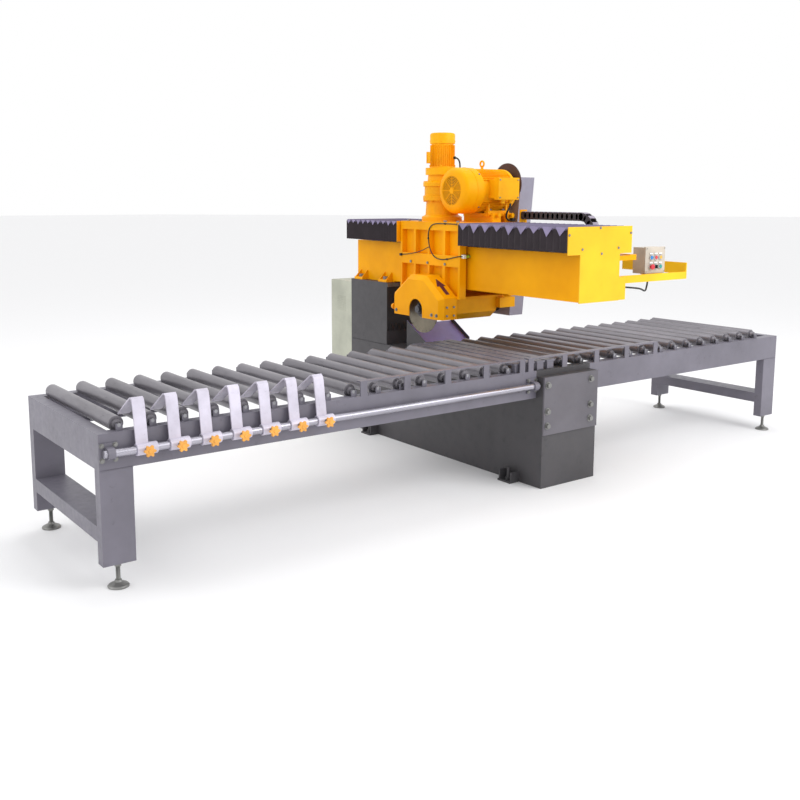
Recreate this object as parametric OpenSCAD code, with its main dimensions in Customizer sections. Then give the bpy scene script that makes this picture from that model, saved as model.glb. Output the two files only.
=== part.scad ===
// Single-arm masonry saw with a roller table.
// Machine frame while drawing: X runs along the table from its infeed end, Y runs back from
// the front rail's face and Z runs up from the floor. placed() moves it to the origin.

/* [Table] */
// Length of the roller table
table_len = 5650; // [5200:10:6800]
// Width of the table over its two rails
table_w = 1114; // [950:2:1340]
// Height of the rails' top face above the floor
table_h = 780; // [680:5:940]
// Depth of the rails
rail_h = 180; // [140:5:210]
// Width of a rail and thickness of a leg
rail_w = 66; // [60:1:72]
// Width of a leg along the table
leg_w = 166; // [120:2:190]

/* [Rollers and stops] */
// Outer diameter of a roller
roller_d = 76; // [60:1:89]
// Distance from one roller to the next
roller_pitch = 170; // [160:1:190]
// Diameter of the rod that carries the stops
rod_d = 40; // [32:1:46]
// Height of the fences above the rails
fence_h = 86; // [76:1:100]

/* [Base and beam] */
// Width of the base and of the column
base_w = 508; // [440:2:560]
// Depth of the column, front to back
column_d = 491; // [420:5:600]
// Width of the beam
beam_w = 370; // [340:2:376]
// Depth of the beam
beam_h = 303; // [260:1:340]

/* [Saw head] */
// Diameter of the saw blade
blade_d = 350; // [300:5:420]
// Radius of the saw motor's fan cowl
motor_r = 165; // [140:1:168]
// Radius of the lift motor's cowl
lift_r = 94; // [80:1:110]
// Height of the blade above the rollers where the head is drawn
blade_gap = 70; // [60:1:90]

/* [Hidden] */
$fn = 48;

sheet = 6;
leg_z = 123;
gap = 0.5;

// Table
rail_z = table_h - rail_h;
roller_z = table_h + 26;
roller_r = roller_d / 2;
roller_top = roller_z + roller_r;
roller_x0 = 115;
roller_y0 = 70;
axle_r = 10;

// Stations along the table
cut_x = round(table_len * 0.4965);
mid_x = cut_x + 342;
base_x0 = mid_x - base_w / 2;
base_x1 = mid_x + base_w / 2;
infeed_n = floor((cut_x - 100 - roller_x0) / roller_pitch) + 1;
turning_n = 2;
outfeed_x0 = roller_x0 + (infeed_n + 2) * roller_pitch;
outfeed_n = floor((table_len - 260 - outfeed_x0) / roller_pitch) + 1;
slot_w = 30;

// Heights of the saw
blade_r = blade_d / 2;
spindle_z = roller_top + blade_gap + blade_r;
beam_z = spindle_z + 156;
beam_top = beam_z + beam_h;
rail_pad = 12;
guide_h = 22;
saddle_z = beam_top + 52;
saddle_t = 14;
head_z = saddle_z + saddle_t + 81;
head_top = head_z + 23;
motor_z = head_top + 224;
cover_top = head_top - 1;
skirt_z = beam_top + 12;

// Stations front to back
spindle_y = table_w - 29;
head_y0 = spindle_y - 318;
head_y1 = head_y0 + 693;
motor_y = spindle_y - 102;
lift_y = motor_y + 313;
column_y0 = spindle_y + 570;
column_y1 = column_y0 + column_d;
beam_y0 = -280;
beam_y1 = column_y1 + 4;
cabinet_d = 284;
block_y = -64;

// Base and column
base_top = table_h - 36;
column_top = beam_z - 11;

// Head frame round the beam
head_in = 209;
head_out = 267;
bellows_w = 297;
screw_r = 20;

// Stops
rod_y = -34;
rod_z = table_h - 92;
rod_r = rod_d / 2;
stop_x0 = 200;
stop_n = 7;

// Drag chain
chain_x = mid_x + 336;
chain_w = 62;
chain_r = 133;
chain_t = 60;
chain_y = 180;

// Sensor cable, given from the spindle axis (Y) and from the head's top plate (Z)
cable_x = mid_x - head_out - 5;
cable_route = [[-297, 12], [-154, 12], [-50, 8], [8, -10], [28, -40], [32, -96], [14, -166],
               [-32, -222], [-100, -240], [-182, -238], [-260, -222], [-316, -213], [-330, -213]];

// Finished extents, which put the origin at the middle of the footprint
y_front = beam_y0 - 10;
y_back = beam_y1 + cabinet_d + 24;

module placed() translate([-table_len / 2, -(y_front + y_back) / 2, 0]) children();

// Boxes by their limits and cylinders by their ends
module block(x, y, z) translate([x[0], y[0], z[0]]) cube([x[1] - x[0], y[1] - y[0], z[1] - z[0]]);
module rod_x(x, y, z, r) translate([x[0], y, z]) rotate([0, 90, 0]) cylinder(h = x[1] - x[0], r = r);
module rod_y(x, y, z, r) translate([x, y[0], z]) rotate([-90, 0, 0]) cylinder(h = y[1] - y[0], r = r);
module rod_z(x, y, z, r) translate([x, y, z[0]]) cylinder(h = z[1] - z[0], r = r);
// An outline drawn in Y and Z, thickened along X
module plate_x(x, points) translate([x[0], 0, 0]) rotate([90, 0, 90])
    linear_extrude(x[1] - x[0]) polygon(points);
module hex_y(x, y, z, flats) translate([x, y[1], z]) rotate([90, 30, 0])
    cylinder(h = y[1] - y[0], r = flats / sqrt(3), $fn = 6);
module hex_z(x, y, z, flats) translate([x, y, z[0]]) rotate([0, 0, 30])
    cylinder(h = z[1] - z[0], r = flats / sqrt(3), $fn = 6);
// Copies mirrored to the other side of the beam and of the table
module both_sides() {
    children();
    translate([2 * mid_x, 0, 0]) mirror([1, 0, 0]) children();
}
module front_and_back() {
    children();
    translate([0, table_w, 0]) mirror([0, 1, 0]) children();
}

// ---- Roller table ----

// A channel with its web on the outside and its flanges turned in
module rail(x) {
    block(x, [0, sheet], [rail_z, table_h]);
    block(x, [0, rail_w], [rail_z, rail_z + sheet]);
    block(x, [0, rail_w], [table_h - sheet, table_h]);
}

module axle_bracket(x) difference() {
    block([x - 17, x + 17], [24, 32], [table_h, roller_z + 8]);
    rod_y(x, [23, 33], roller_z, axle_r);
    block([x - axle_r, x + axle_r], [23, 33], [roller_z, roller_z + 20]);
}

module table_end(x) {
    front_and_back() block([x, x + leg_w], [0, rail_w], [leg_z, rail_z]);
    block([x, x + leg_w], [rail_w, table_w - rail_w], [235, 312]);
}

module end_panel(x, flange) {
    block([x, x + sheet], [sheet, table_w - sheet], [rail_z, table_h]);
    block(flange, [rail_w, table_w - rail_w], [table_h - sheet, table_h]);
}

module rod_clamp(x) difference() {
    union() {
        block([x - 45, x + 45], [-8, 0], [rod_z - 48, rod_z + 48]);
        block([x - 18, x + 18], [rod_y, -8], [rod_z - 29, rod_z + 29]);
        rod_x([x - 18, x + 18], rod_y, rod_z, rod_r + 9);
    }
    rod_x([x - 25, x + 25], rod_y, rod_z, rod_r);
}

module infeed_frame() color([0.47, 0.46, 0.52]) placed() {
    front_and_back() {
        rail([0, base_x0]);
        for (i = [0:infeed_n - 1]) axle_bracket(roller_x0 + i * roller_pitch);
    }
    table_end(0);
    end_panel(0, [0, rail_w]);
    rod_clamp(46);
    rod_clamp(base_x0 - 46);
}

module outfeed_frame() color([0.47, 0.46, 0.52]) placed() {
    front_and_back() {
        rail([base_x1, table_len]);
        for (i = [0:outfeed_n - 1])
            if (outfeed_x0 + i * roller_pitch > base_x1) axle_bracket(outfeed_x0 + i * roller_pitch);
    }
    table_end(table_len - leg_w);
    end_panel(table_len - sheet, [table_len - rail_w, table_len]);
}

module levelling_foot(x, y) {
    translate([x, y, 0]) rotate_extrude()
        polygon([[0, 0], [52, 0], [53, 6], [48, 12], [20, 26], [16, 36], [0, 36]]);
    rod_z(x, y, [36, leg_z], 10);
    hex_z(x, y, [leg_z - 18, leg_z], 30);
}

module levelling_feet() color([0.40, 0.40, 0.41]) placed()
    for (x = [leg_w / 2, table_len - leg_w / 2])
        front_and_back() levelling_foot(x, rail_w / 2);

module axle(x) rod_y(x, [26, table_w - 26], roller_z, axle_r);

module roller_axles() color([0.62, 0.62, 0.64]) placed() {
    for (i = [0:infeed_n - 1]) axle(roller_x0 + i * roller_pitch);
    for (i = [0:outfeed_n - 1]) axle(outfeed_x0 + i * roller_pitch);
}

module roller(x) translate([x, roller_y0, roller_z]) rotate([-90, 0, 0]) {
    length = table_w - 2 * roller_y0;
    difference() {
        union() {
            cylinder(h = length, r = roller_r);
            translate([0, 0, -24]) cylinder(h = length + 48, r = 24);
        }
        translate([0, 0, 8]) cylinder(h = length - 16, r = roller_r - 4);
        translate([0, 0, -25]) cylinder(h = length + 50, r = axle_r + 0.05);
    }
}

module turning_roller(i) color([0.55, 0.55, 0.56]) placed() roller(roller_x0 + (i - 1) * roller_pitch);

module infeed_rollers() color([0.55, 0.55, 0.56]) placed()
    for (i = [turning_n:infeed_n - 1]) roller(roller_x0 + i * roller_pitch);

module outfeed_rollers() color([0.55, 0.55, 0.56]) placed()
    for (i = [0:outfeed_n - 1]) roller(outfeed_x0 + i * roller_pitch);

module bed_strip(x) {
    block(x, [20, table_w - 20], [roller_top - 18, roller_top - 6]);
    front_and_back() block([x[0] + 8, x[1] - 8], [24, 56], [table_h, roller_top - 18]);
}

module bed_strips() color([0.50, 0.49, 0.53]) placed() {
    bed_strip([cut_x - slot_w / 2 - 76, cut_x - slot_w / 2]);
    for (i = [0:2]) bed_strip([cut_x + slot_w / 2 + i * 93, cut_x + slot_w / 2 + i * 93 + 74]);
}

// A strip on posts along the front rail
module fence(x, posts) {
    block(x, [0, 42], [table_h + fence_h - 8, table_h + fence_h]);
    for (i = [0:posts - 1]) {
        post_x = x[0] + i * (x[1] - x[0] - 46) / (posts - 1);
        block([post_x, post_x + 46], [0, 8], [table_h, table_h + fence_h - 8]);
    }
}

module fences() color([0.58, 0.57, 0.61]) placed() {
    fence([cut_x - 1300, cut_x - slot_w / 2], 5);
    fence([cut_x + slot_w / 2, cut_x + 1315], 5);
}

// ---- Flip-over stops ----

module stop_rod() color([0.86, 0.87, 0.89]) placed()
    rod_x([14, base_x0 - 12], rod_y, rod_z, rod_r);

module star_knob(r, h) linear_extrude(h) union() {
    circle(r * 0.78);
    for (a = [0:60:300]) rotate(a) translate([r * 0.72, 0]) circle(r * 0.28);
}

// The collar slides on the rod. The arm rises past the rail and turns down between two rollers
module stop(i) color([0.80, 0.79, 0.84]) placed() translate([stop_x0 + (i - 1) * roller_pitch, 0, 0]) {
    difference() {
        rod_x([-30, 76], rod_y, rod_z, rod_r + 10);
        rod_x([-31, 77], rod_y, rod_z, rod_r + 0.05);
    }
    plate_x([-31, 31], [[rod_y - 8, rod_z + rod_r + 4], [rod_y, rod_z + rod_r + 4],
                        [2, rod_z + 248], [188, rod_z + 132], [192, rod_z + 139],
                        [0, rod_z + 258], [-6, rod_z + 256]]);
    rod_y(16, [rod_y - rod_r - 34, rod_y - rod_r - 9], rod_z, 7);
    translate([16, rod_y - rod_r - 34, rod_z]) rotate([90, 0, 0]) star_knob(31, 20);
}

// ---- Base, column and fixed beam ----

module hollow_box(x, y, z, wall) difference() {
    block(x, y, z);
    block([x[0] + wall, x[1] - wall], [y[0] + wall, y[1] - wall], [z[0] - 1, z[1] - wall]);
}

module anchor(y) {
    block([base_x0 - 74, base_x0], [y, y + 12], [12, 74]);
    block([base_x0 - 74, base_x0], [y + 108, y + 120], [12, 74]);
    block([base_x0 - 86, base_x0], [y, y + 120], [0, 12]);
    rod_z(base_x0 - 42, y + 60, [12, 96], 12);
    hex_z(base_x0 - 42, y + 60, [12, 32], 36);
}

module base() color([0.36, 0.35, 0.38]) placed() {
    hollow_box([base_x0, base_x1], [block_y, column_y1], [0, base_top], 10);
    front_and_back() {
        block([base_x0, base_x1], [0, rail_w], [base_top, table_h]);
        for (i = [0:outfeed_n - 1])
            if (outfeed_x0 + i * roller_pitch < base_x1) axle_bracket(outfeed_x0 + i * roller_pitch);
    }
    anchor(140);
    anchor(column_y1 - 380);
}

plate_z = [360, table_h - 36];

module joint_plate() color([0.47, 0.46, 0.50]) placed()
    block([base_x0, base_x1], [block_y - 12, block_y], plate_z);

module bolt_y(x, y, z, flats) {
    hex_y(x, [y - flats * 0.6, y - 3], z, flats);
    rod_y(x, [y - 3, y], z, flats * 0.8);
}

module bolts() color([0.72, 0.72, 0.75]) placed() {
    for (x = [base_x0 + 32, base_x1 - 70], z = [table_h - 88, table_h - 262, table_h - 358])
        bolt_y(x, block_y - 12, z, 30);
    for (x = [46, base_x0 - 46], dx = [-33, 33], dz = [-36, 36])
        bolt_y(x + dx, -8, rod_z + dz, 16);
    for (y = [column_y0 + 70, column_y1 - 90]) both_sides() {
        rod_z(mid_x - beam_w / 2 - 30, y, [column_top + 20, column_top + 24], 22);
        hex_z(mid_x - beam_w / 2 - 30, y, [column_top + 24, column_top + 42], 32);
    }
    for (p = [[-289, -50], [-8, -9], [283, -45], [-169, -140], [168, -138], [9, -171]])
        rod_y(mid_x + p[0], [beam_y0 - 10, beam_y0 - 6], cover_top + p[1], 8);
}

module column() color([0.36, 0.35, 0.35]) placed()
    hollow_box([base_x0, base_x1], [column_y0, column_y1], [base_top, column_top], 10);

module beam_foot(y) {
    block([mid_x - beam_w / 2 - 62, mid_x - beam_w / 2], [y - 55, y + 55], [column_top, column_top + 20]);
    for (dy = [-49, 41])
    for (dy = [-49, 41])
        translate([mid_x - beam_w / 2, y + dy, column_top + 20]) rotate([90, 0, 0]) mirror([0, 0, 1])
            linear_extrude(8) polygon([[0, 0], [-58, 0], [0, 58]]);
}

chain_tray_z = beam_top - 18.5;

module beam() color([0.98, 0.66, 0.09]) placed() {
    difference() {
        block([mid_x - beam_w / 2, mid_x + beam_w / 2], [beam_y0, beam_y1], [beam_z, beam_top]);
        block([mid_x - beam_w / 2 + 12, mid_x + beam_w / 2 - 12], [beam_y0 - 1, beam_y1 - 12],
              [beam_z + 12, beam_top - 12]);
    }
    block([mid_x - beam_w / 2, mid_x + beam_w / 2], [column_y0, column_y1], [column_top, beam_z]);
    both_sides() {
        beam_foot(column_y0 + 70);
        beam_foot(column_y1 - 90);
    }
    // Brackets and tray that carry the drag chain past the head
    for (y = [[beam_y0 + 10, beam_y0 + 70], [column_y0 + 30, column_y0 + 110]])
        block([mid_x + beam_w / 2, chain_x + chain_w / 2], y, [chain_tray_z - 36, chain_tray_z - 4]);
    block([chain_x - chain_w / 2, chain_x + chain_w / 2], [beam_y0 + 10, column_y0 + 110],
          [chain_tray_z - 4, chain_tray_z]);
}

module beam_cover() color([0.99, 0.85, 0.28]) placed() {
    block([mid_x - bellows_w, mid_x + bellows_w], [beam_y0 - 6, beam_y0], [beam_top - 5, cover_top]);
    block([mid_x - beam_w / 2, mid_x + beam_w / 2], [beam_y0 - 6, beam_y0], [beam_z - 6, beam_top - 5]);
}

module guide_rails() color([0.75, 0.75, 0.77]) placed() both_sides() {
    block([mid_x - 150, mid_x - 110], [beam_y0 + 40, beam_y1 - 40], [beam_top, beam_top + rail_pad]);
    block([mid_x - 141.5, mid_x - 118.5], [beam_y0 + 40, beam_y1 - 40],
          [beam_top + rail_pad, beam_top + rail_pad + guide_h]);
}

// A folded cover drawn as a plain channel over the beam
module bellows(y) difference() {
    block([mid_x - bellows_w, mid_x + bellows_w], y, [skirt_z, cover_top]);
    block([mid_x - bellows_w + 8, mid_x + bellows_w - 8], [y[0] - 1, y[1] + 1], [skirt_z - 1, cover_top - 8]);
}

module front_bellows() color([0.20, 0.17, 0.19]) placed() bellows([beam_y0 + gap, head_y0 - 11]);

module rear_bellows() color([0.20, 0.17, 0.19]) placed() bellows([head_y1 + 11, beam_y1]);

// The ramp stands on the base between two side plates
module splash_ramp() color([0.55, 0.47, 0.70]) placed() {
    low_y = column_y0 - 412;
    top_y = low_y + 230;
    low_z = base_top + 30;
    plate_x([mid_x - 190, base_x1 - 8], [[low_y, low_z], [top_y, low_z + 141], [top_y, low_z + 147],
                                         [low_y, low_z + 6]]);
    for (x = [[mid_x - 194, mid_x - 190], [base_x1 - 8, base_x1 - 4]])
        plate_x(x, [[low_y, base_top], [top_y, base_top], [top_y, low_z + 181], [low_y, low_z + 40]]);
}

// The curtain hangs over the column's front and ends in a row of cut teeth
module rubber_curtain() color([0.13, 0.12, 0.13]) placed() difference() {
    union() {
        block([base_x0, base_x1], [column_y0 - 6, column_y0], [column_top - 190, column_top - 4]);
        block([base_x0, mid_x - 37], [column_y0 - 6, column_y0], [column_top - 380, column_top - 190]);
    }
    for (x = [base_x0 + 22:43:mid_x - 60])
        block([x, x + 22], [column_y0 - 7, column_y0 + 1], [column_top - 381, column_top - 330]);
}

// ---- Electrical cabinet and operator's box ----

cabinet_z = [column_top - 960, column_top - 24];
hinge_x = base_x1 - 14;
door_y = beam_y1 + cabinet_d;

module cabinet() color([0.70, 0.71, 0.63]) placed() {
    difference() {
        block([base_x0, base_x1], [column_y1, door_y - 4], cabinet_z);
        block([base_x0 + 2, base_x1 - 2], [column_y1 + 2, door_y], [cabinet_z[0] + 2, cabinet_z[1] - 2]);
    }
    block([base_x0 + 30, base_x1 - 30], [column_y1 + 2, column_y1 + 60],
          [cabinet_z[0] + 60, cabinet_z[1] - 60]);
    for (z = [cabinet_z[0] + 90, cabinet_z[1] - 90]) {
        rod_z(hinge_x, door_y + 8, [z - 30, z + 30], 4);
        block([hinge_x - 4, base_x1], [door_y - 4, door_y + 8], [z - 30, z - 15]);
    }
}

module cabinet_door() color([0.70, 0.71, 0.63]) placed() {
    difference() {
        union() {
            difference() {
                block([base_x0 + 1, hinge_x - 14], [door_y - 3, door_y + 14],
                      [cabinet_z[0] + 3, cabinet_z[1] - 3]);
                block([base_x0 + 3, hinge_x - 16], [door_y - 4, door_y + 12],
                      [cabinet_z[0] + 5, cabinet_z[1] - 5]);
            }
            for (z = [cabinet_z[0] + 90, cabinet_z[1] - 90]) {
                rod_z(hinge_x, door_y + 8, [z - 14, z + 29], 8);
                block([hinge_x - 16, hinge_x], [door_y + 5, door_y + 11], [z - 14, z + 29]);
            }
        }
        for (z = [cabinet_z[0] + 90, cabinet_z[1] - 90])
            rod_z(hinge_x, door_y + 8, [z - 31, z + 31], 4.05);
    }
    rod_y(base_x0 + 45, [door_y + 14, door_y + 20], (cabinet_z[0] + cabinet_z[1]) / 2, 16);
    block([base_x0 + 39, base_x0 + 51], [door_y + 20, door_y + 24],
          [(cabinet_z[0] + cabinet_z[1]) / 2 - 14, (cabinet_z[0] + cabinet_z[1]) / 2 + 14]);
}

arm_z = beam_z + 92;
arm_x1 = mid_x + 976;
box_x = [mid_x + 553, mid_x + 755];
box_y = [-192, -90];
box_z = [arm_z + 50, arm_z + 227];

module control_arm() color([0.98, 0.74, 0.16]) placed() {
    block([mid_x + beam_w / 2, mid_x + beam_w / 2 + 78], [beam_y0 + 6, beam_y0 + 80],
          [beam_z - 6, arm_z + 50]);
    block([mid_x + beam_w / 2 + 78, arm_x1], [beam_y0 + 62, beam_y0 + 72], [arm_z, arm_z + 50]);
    block([arm_x1 - 10, arm_x1], [beam_y0 + 62, 350], [arm_z + 34, arm_z + 113]);
    block([arm_x1 - 10, arm_x1], [beam_y0 + 62, beam_y0 + 130], [arm_z, arm_z + 34]);
    block([box_x[0] + 20, box_x[1] - 20], [beam_y0 + 72, box_y[1] - 50], [arm_z + 44, arm_z + 50]);
}

// Button rows and columns on the front of the box: x, z and radius
buttons = [for (row = [0, 1], col = [0, 1, 2]) [box_x[0] + 55 + col * 48, box_z[1] - 68 - row * 62, 13]];

module control_box() color([0.76, 0.72, 0.68]) placed() {
    difference() {
        union() {
            block(box_x, box_y, box_z);
            block([box_x[0] - 2, box_x[1] + 2], [box_y[0] - 4, box_y[0] + 10], [box_z[0] + 4, box_z[1] + 3]);
            for (b = buttons) rod_y(b[0], [box_y[0] - 8, box_y[0]], b[1], b[2] + 5);
        }
        block([box_x[0] + 4, box_x[1] - 4], [box_y[0] + 4, box_y[1] - 4], [box_z[0] + 4, box_z[1] - 4]);
        for (b = buttons) rod_y(b[0], [box_y[0] - 9, box_y[0] + 20], b[1], b[2] + 0.3);
    }
    // Cable gland on the underside, behind the arm
    hex_z(box_x[0] + 130, box_y[1] - 25, [box_z[0] - 14, box_z[0]], 34);
    rod_z(box_x[0] + 130, box_y[1] - 25, [box_z[0] - 46, box_z[0] - 14], 13);
}

button_colours = [[0.15, 0.45, 0.75], [0.85, 0.20, 0.20], [0.85, 0.70, 0.20],
                  [0.80, 0.15, 0.20], [0.10, 0.10, 0.11], [0.10, 0.55, 0.50]];

// Five push buttons and, fifth, a rotary selector with a finger bar
module button(i) color(button_colours[i - 1]) placed() {
    b = buttons[i - 1];
    rod_y(b[0], [box_y[0] - 16, box_y[0] + 2], b[1], b[2]);
    if (i == 5) block([b[0] - 4, b[0] + 4], [box_y[0] - 26, box_y[0] - 16], [b[1] - 12, b[1] + 12]);
    if (i == 4) rod_y(b[0], [box_y[0] - 30, box_y[0] - 16], b[1], b[2] + 6);
}

// ---- Saddle that travels along the beam ----

module end_frame(y) difference() {
    block([mid_x - bellows_w, mid_x + bellows_w], y, [skirt_z, cover_top]);
    block([mid_x - beam_w / 2 - 8, mid_x + beam_w / 2 + 8], [y[0] - 1, y[1] + 1], [skirt_z - 1, saddle_z]);
}

module saddle() color([0.55, 0.55, 0.57]) placed() difference() {
    union() {
        block([mid_x - head_in + gap, mid_x + head_in - gap], [head_y0 - 5, head_y1 + 5],
              [saddle_z, saddle_z + saddle_t]);
        both_sides() {
            block([mid_x - head_in + gap, mid_x - head_in + 20.5], [head_y0 + 100, head_y1 - 100],
                  [beam_z + 55, saddle_z]);
            for (y = [head_y0 + 60, head_y1 - 170])
                block([mid_x - 165, mid_x - 95], [y, y + 110], [beam_top + rail_pad + 3, saddle_z]);
        }
        end_frame([head_y0 - 10, head_y0 - 5]);
        end_frame([head_y1 + 5, head_y1 + 10]);
        // Nut housing for the traverse screw
        block([mid_x - 34, mid_x + 34], [head_y0 + 40, head_y0 + 120], [beam_top + 6, saddle_z]);
        // Lug that takes the moving end of the drag chain
        block([mid_x + bellows_w, chain_x + chain_w / 2], [head_y0 - 10, head_y0 - 4],
              [cover_top - 40, cover_top + 90]);
        block([mid_x + bellows_w - 30, mid_x + bellows_w], [head_y0 - 10, head_y0 - 5],
              [cover_top - 40, cover_top]);
    }
    both_sides() for (y = [head_y0 + 60, head_y1 - 170])
        block([mid_x - 141.5 - gap, mid_x - 118.5 + gap], [y - 1, y + 111],
              [beam_top, beam_top + rail_pad + guide_h + gap]);
    rod_y(mid_x, [head_y0 - 20, head_y0 + 130], beam_top + 32, 16.05);
    rod_y(mid_x, [head_y0 - 20, head_y0 + 38], beam_top + 32, 22);
    rod_z(mid_x, lift_y, [saddle_z - 1, saddle_z + saddle_t + 1], screw_r + 5);
}

// Flange of the lifting nut, and the hole it rises through when the head is down
nut_flange_r = 70;
nut_hole_r = nut_flange_r + 4;

module lift_nut() color([0.72, 0.58, 0.30]) placed() translate([mid_x, lift_y, saddle_z + saddle_t])
    rotate_extrude() polygon([[screw_r + 5, 0], [nut_flange_r, 0], [nut_flange_r, 14], [35, 14], [35, 186],
                              [screw_r + 0.05, 186], [screw_r + 0.05, 96], [screw_r + 5, 90]]);

module traverse_screw() color([0.66, 0.66, 0.68]) placed() {
    rod_y(mid_x, [beam_y0 + 60, head_y1 + 300], beam_top + 32, 16);
    rod_y(mid_x, [head_y1 + 300, head_y1 + 370], beam_top + 32, 12);
}

// The gearmotor and the screw's front bearing sit on the beam under the bellows
module traverse_motor() color([0.30, 0.36, 0.42]) placed() {
    y = head_y1 + 320;
    difference() {
        union() {
            block([mid_x - 55, mid_x + 55], [y, y + 120], [beam_top, beam_top + 110]);
            rod_y(mid_x, [y + 120, y + 340], beam_top + 75, 58);
            block([mid_x - 45, mid_x + 45], [beam_y0 + 70, beam_y0 + 105], [beam_top, beam_top + 60]);
        }
        rod_y(mid_x, [y - 1, y + 60], beam_top + 32, 12.05);
        rod_y(mid_x, [beam_y0 + 69, beam_y0 + 106], beam_top + 32, 16.05);
    }
}

// ---- Saw head ----

// Pockets between the ribs of a side plate, as [y from the head's front, width]
rib_cells = [[20, 144], [194, 148], [363, 143], [528, 143]];

module side_plate() difference() {
    block([mid_x - head_out, mid_x - head_in], [head_y0, head_y1], [beam_z - 67, head_z]);
    for (c = rib_cells) {
        block([mid_x - head_out - 1, mid_x - head_in - 16],
              [head_y0 + c[0], head_y0 + c[0] + c[1]], [head_z - 211, head_z - 37]);
        block([mid_x - head_out - 1, mid_x - head_in - 16],
              [head_y0 + c[0], head_y0 + c[0] + c[1]], [beam_z - 50, head_z - 291]);
    }
}

module head_frame() color([0.97, 0.67, 0.12]) placed() {
    both_sides() {
        side_plate();
        // Slideways that hold the saddle's cheeks
        for (y = [[head_y0 + 74, head_y0 + 100 - gap], [head_y1 - 100 + gap, head_y1 - 74]])
            block([mid_x - head_in, mid_x - head_in + 20], y, [beam_z + 55, saddle_z - 60]);
    }
    difference() {
        block([mid_x - head_out, mid_x + head_out], [head_y0, head_y1], [head_z, head_top]);
        rod_z(mid_x, lift_y, [head_z - 1, head_top + 1], nut_hole_r);
    }
    block([mid_x - head_out, mid_x + head_out], [spindle_y - 200, spindle_y + 210],
          [beam_z - 87, beam_z - 67]);
}

module lift_gearbox() color([0.98, 0.70, 0.15]) placed() {
    translate([mid_x, lift_y, head_top]) rotate_extrude()
        polygon([[44, 0], [152, 0], [152, 30], [124, 46], [118, 152], [143, 152], [143, 186], [132, 192],
                 [132, 254], [143, 258], [143, 286], [110, 300], [106, 342], [126, 342], [126, 394],
                 [0, 394], [0, 262], [screw_r + 0.05, 262], [screw_r + 0.05, 168], [44, 168]]);
    for (a = [15:30:345]) translate([mid_x, lift_y, head_top]) rotate(a) translate([134, 0, 0]) {
        rod_z(0, 0, [142, 152], 7);
        rod_z(0, 0, [286, 296], 7);
    }
}

module lift_motor() color([0.98, 0.70, 0.15]) placed() {
    z = head_top + 394;
    rod_z(mid_x, lift_y, [z, z + 178], lift_r - 9);
    for (a = [0:15:345]) translate([mid_x, lift_y, 0]) rotate(a)
        block([lift_r - 12, lift_r - 2], [-2, 2], [z + 12, z + 170]);
    translate([mid_x, lift_y, z + 170]) rotate_extrude()
        polygon([[0, 8], [lift_r, 8], [lift_r, 72], [lift_r - 14, 88], [0, 88]]);
    block([mid_x - 45, mid_x + 45], [lift_y + lift_r - 12, lift_y + lift_r + 40], [z + 40, z + 120]);
}

module lift_screw() color([0.66, 0.66, 0.68]) placed()
    rod_z(mid_x, lift_y, [saddle_z + 82, head_top + 260], screw_r);

motor_x = [mid_x + 3, mid_x + 303, mid_x + 367];
fan_x = [mid_x - 170, mid_x + 3];
back_x = mid_x + 372;
pulley_x = [back_x + 24, back_x + 116];

module saw_motor() color([0.98, 0.70, 0.15]) placed() difference() {
    union() {
        rod_x([motor_x[0], motor_x[1]], motor_y, motor_z, motor_r - 18);
        rod_x([motor_x[1], motor_x[2] - 20], motor_y, motor_z, motor_r - 8);
        rod_x([motor_x[2] - 20, motor_x[2]], motor_y, motor_z, motor_r - 50);
        for (a = [0:12:348])
            translate([0, motor_y, motor_z]) rotate([a, 0, 0])
                block([motor_x[0] + 10, motor_x[1]], [motor_r - 22, motor_r - 5], [-2.5, 2.5]);
        // Feet
        for (y = [motor_y - 125, motor_y + 85])
            block([motor_x[0] + 70, motor_x[1] - 20], [y, y + 40], [motor_z - 160, motor_z - 80]);
        // Terminal box on the operator's side
        block([mid_x + 60, mid_x + 262], [motor_y - 255, motor_y - 100], [motor_z - 62, motor_z + 92]);
        // Lifting eye
        translate([mid_x + 120, motor_y, motor_z + motor_r + 30]) rotate([0, 90, 0]) rotate_extrude()
            translate([20, 0]) circle(7);
        rod_z(mid_x + 120, motor_y, [motor_z + motor_r - 25, motor_z + motor_r + 10], 14);
    }
    rod_x([motor_x[0] - 1, motor_x[2] + 1], motor_y, motor_z, 21.05);
}

// The cowl is a shell with a slotted grille at its end
module fan_cowl() color([0.98, 0.70, 0.15]) placed() difference() {
    translate([fan_x[0], motor_y, motor_z]) rotate([0, 90, 0]) rotate_extrude()
        polygon([[0, 0], [motor_r - 52, 0], [motor_r - 26, 8], [motor_r, 36], [motor_r, 173],
                 [motor_r - 4, 173], [motor_r - 4, 38], [motor_r - 30, 12], [0, 4]]);
    for (a = [0:30:330], r = [34, 60, 86])
        translate([fan_x[0], motor_y, motor_z]) rotate([a + r, 0, 0])
            translate([-1, r, 0]) rotate([0, 90, 0]) cylinder(h = 8, r = r / 7);
}

module motor_pulley() color([0.30, 0.30, 0.32]) placed() {
    rod_x([motor_x[0] + 20, pulley_x[1] + 10], motor_y, motor_z, 21);
    rod_x([fan_x[0] + 40, motor_x[0] + 20], motor_y, motor_z, 19);
    rod_x([fan_x[0] + 50, fan_x[0] + 66], motor_y, motor_z, motor_r - 50);
    grooved_pulley(motor_y, motor_z, 88);
}

// Four V-grooves
module grooved_pulley(y, z, r) translate([pulley_x[0], y, z]) rotate([0, 90, 0]) difference() {
    cylinder(h = pulley_x[1] - pulley_x[0], r = r);
    for (i = [0:3]) translate([0, 0, 16 + i * 20]) rotate_extrude()
        polygon([[r - 13, -7.2], [r + 1, -9.4], [r + 1, 9.4], [r - 13, 7.2]]);
}

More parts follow.
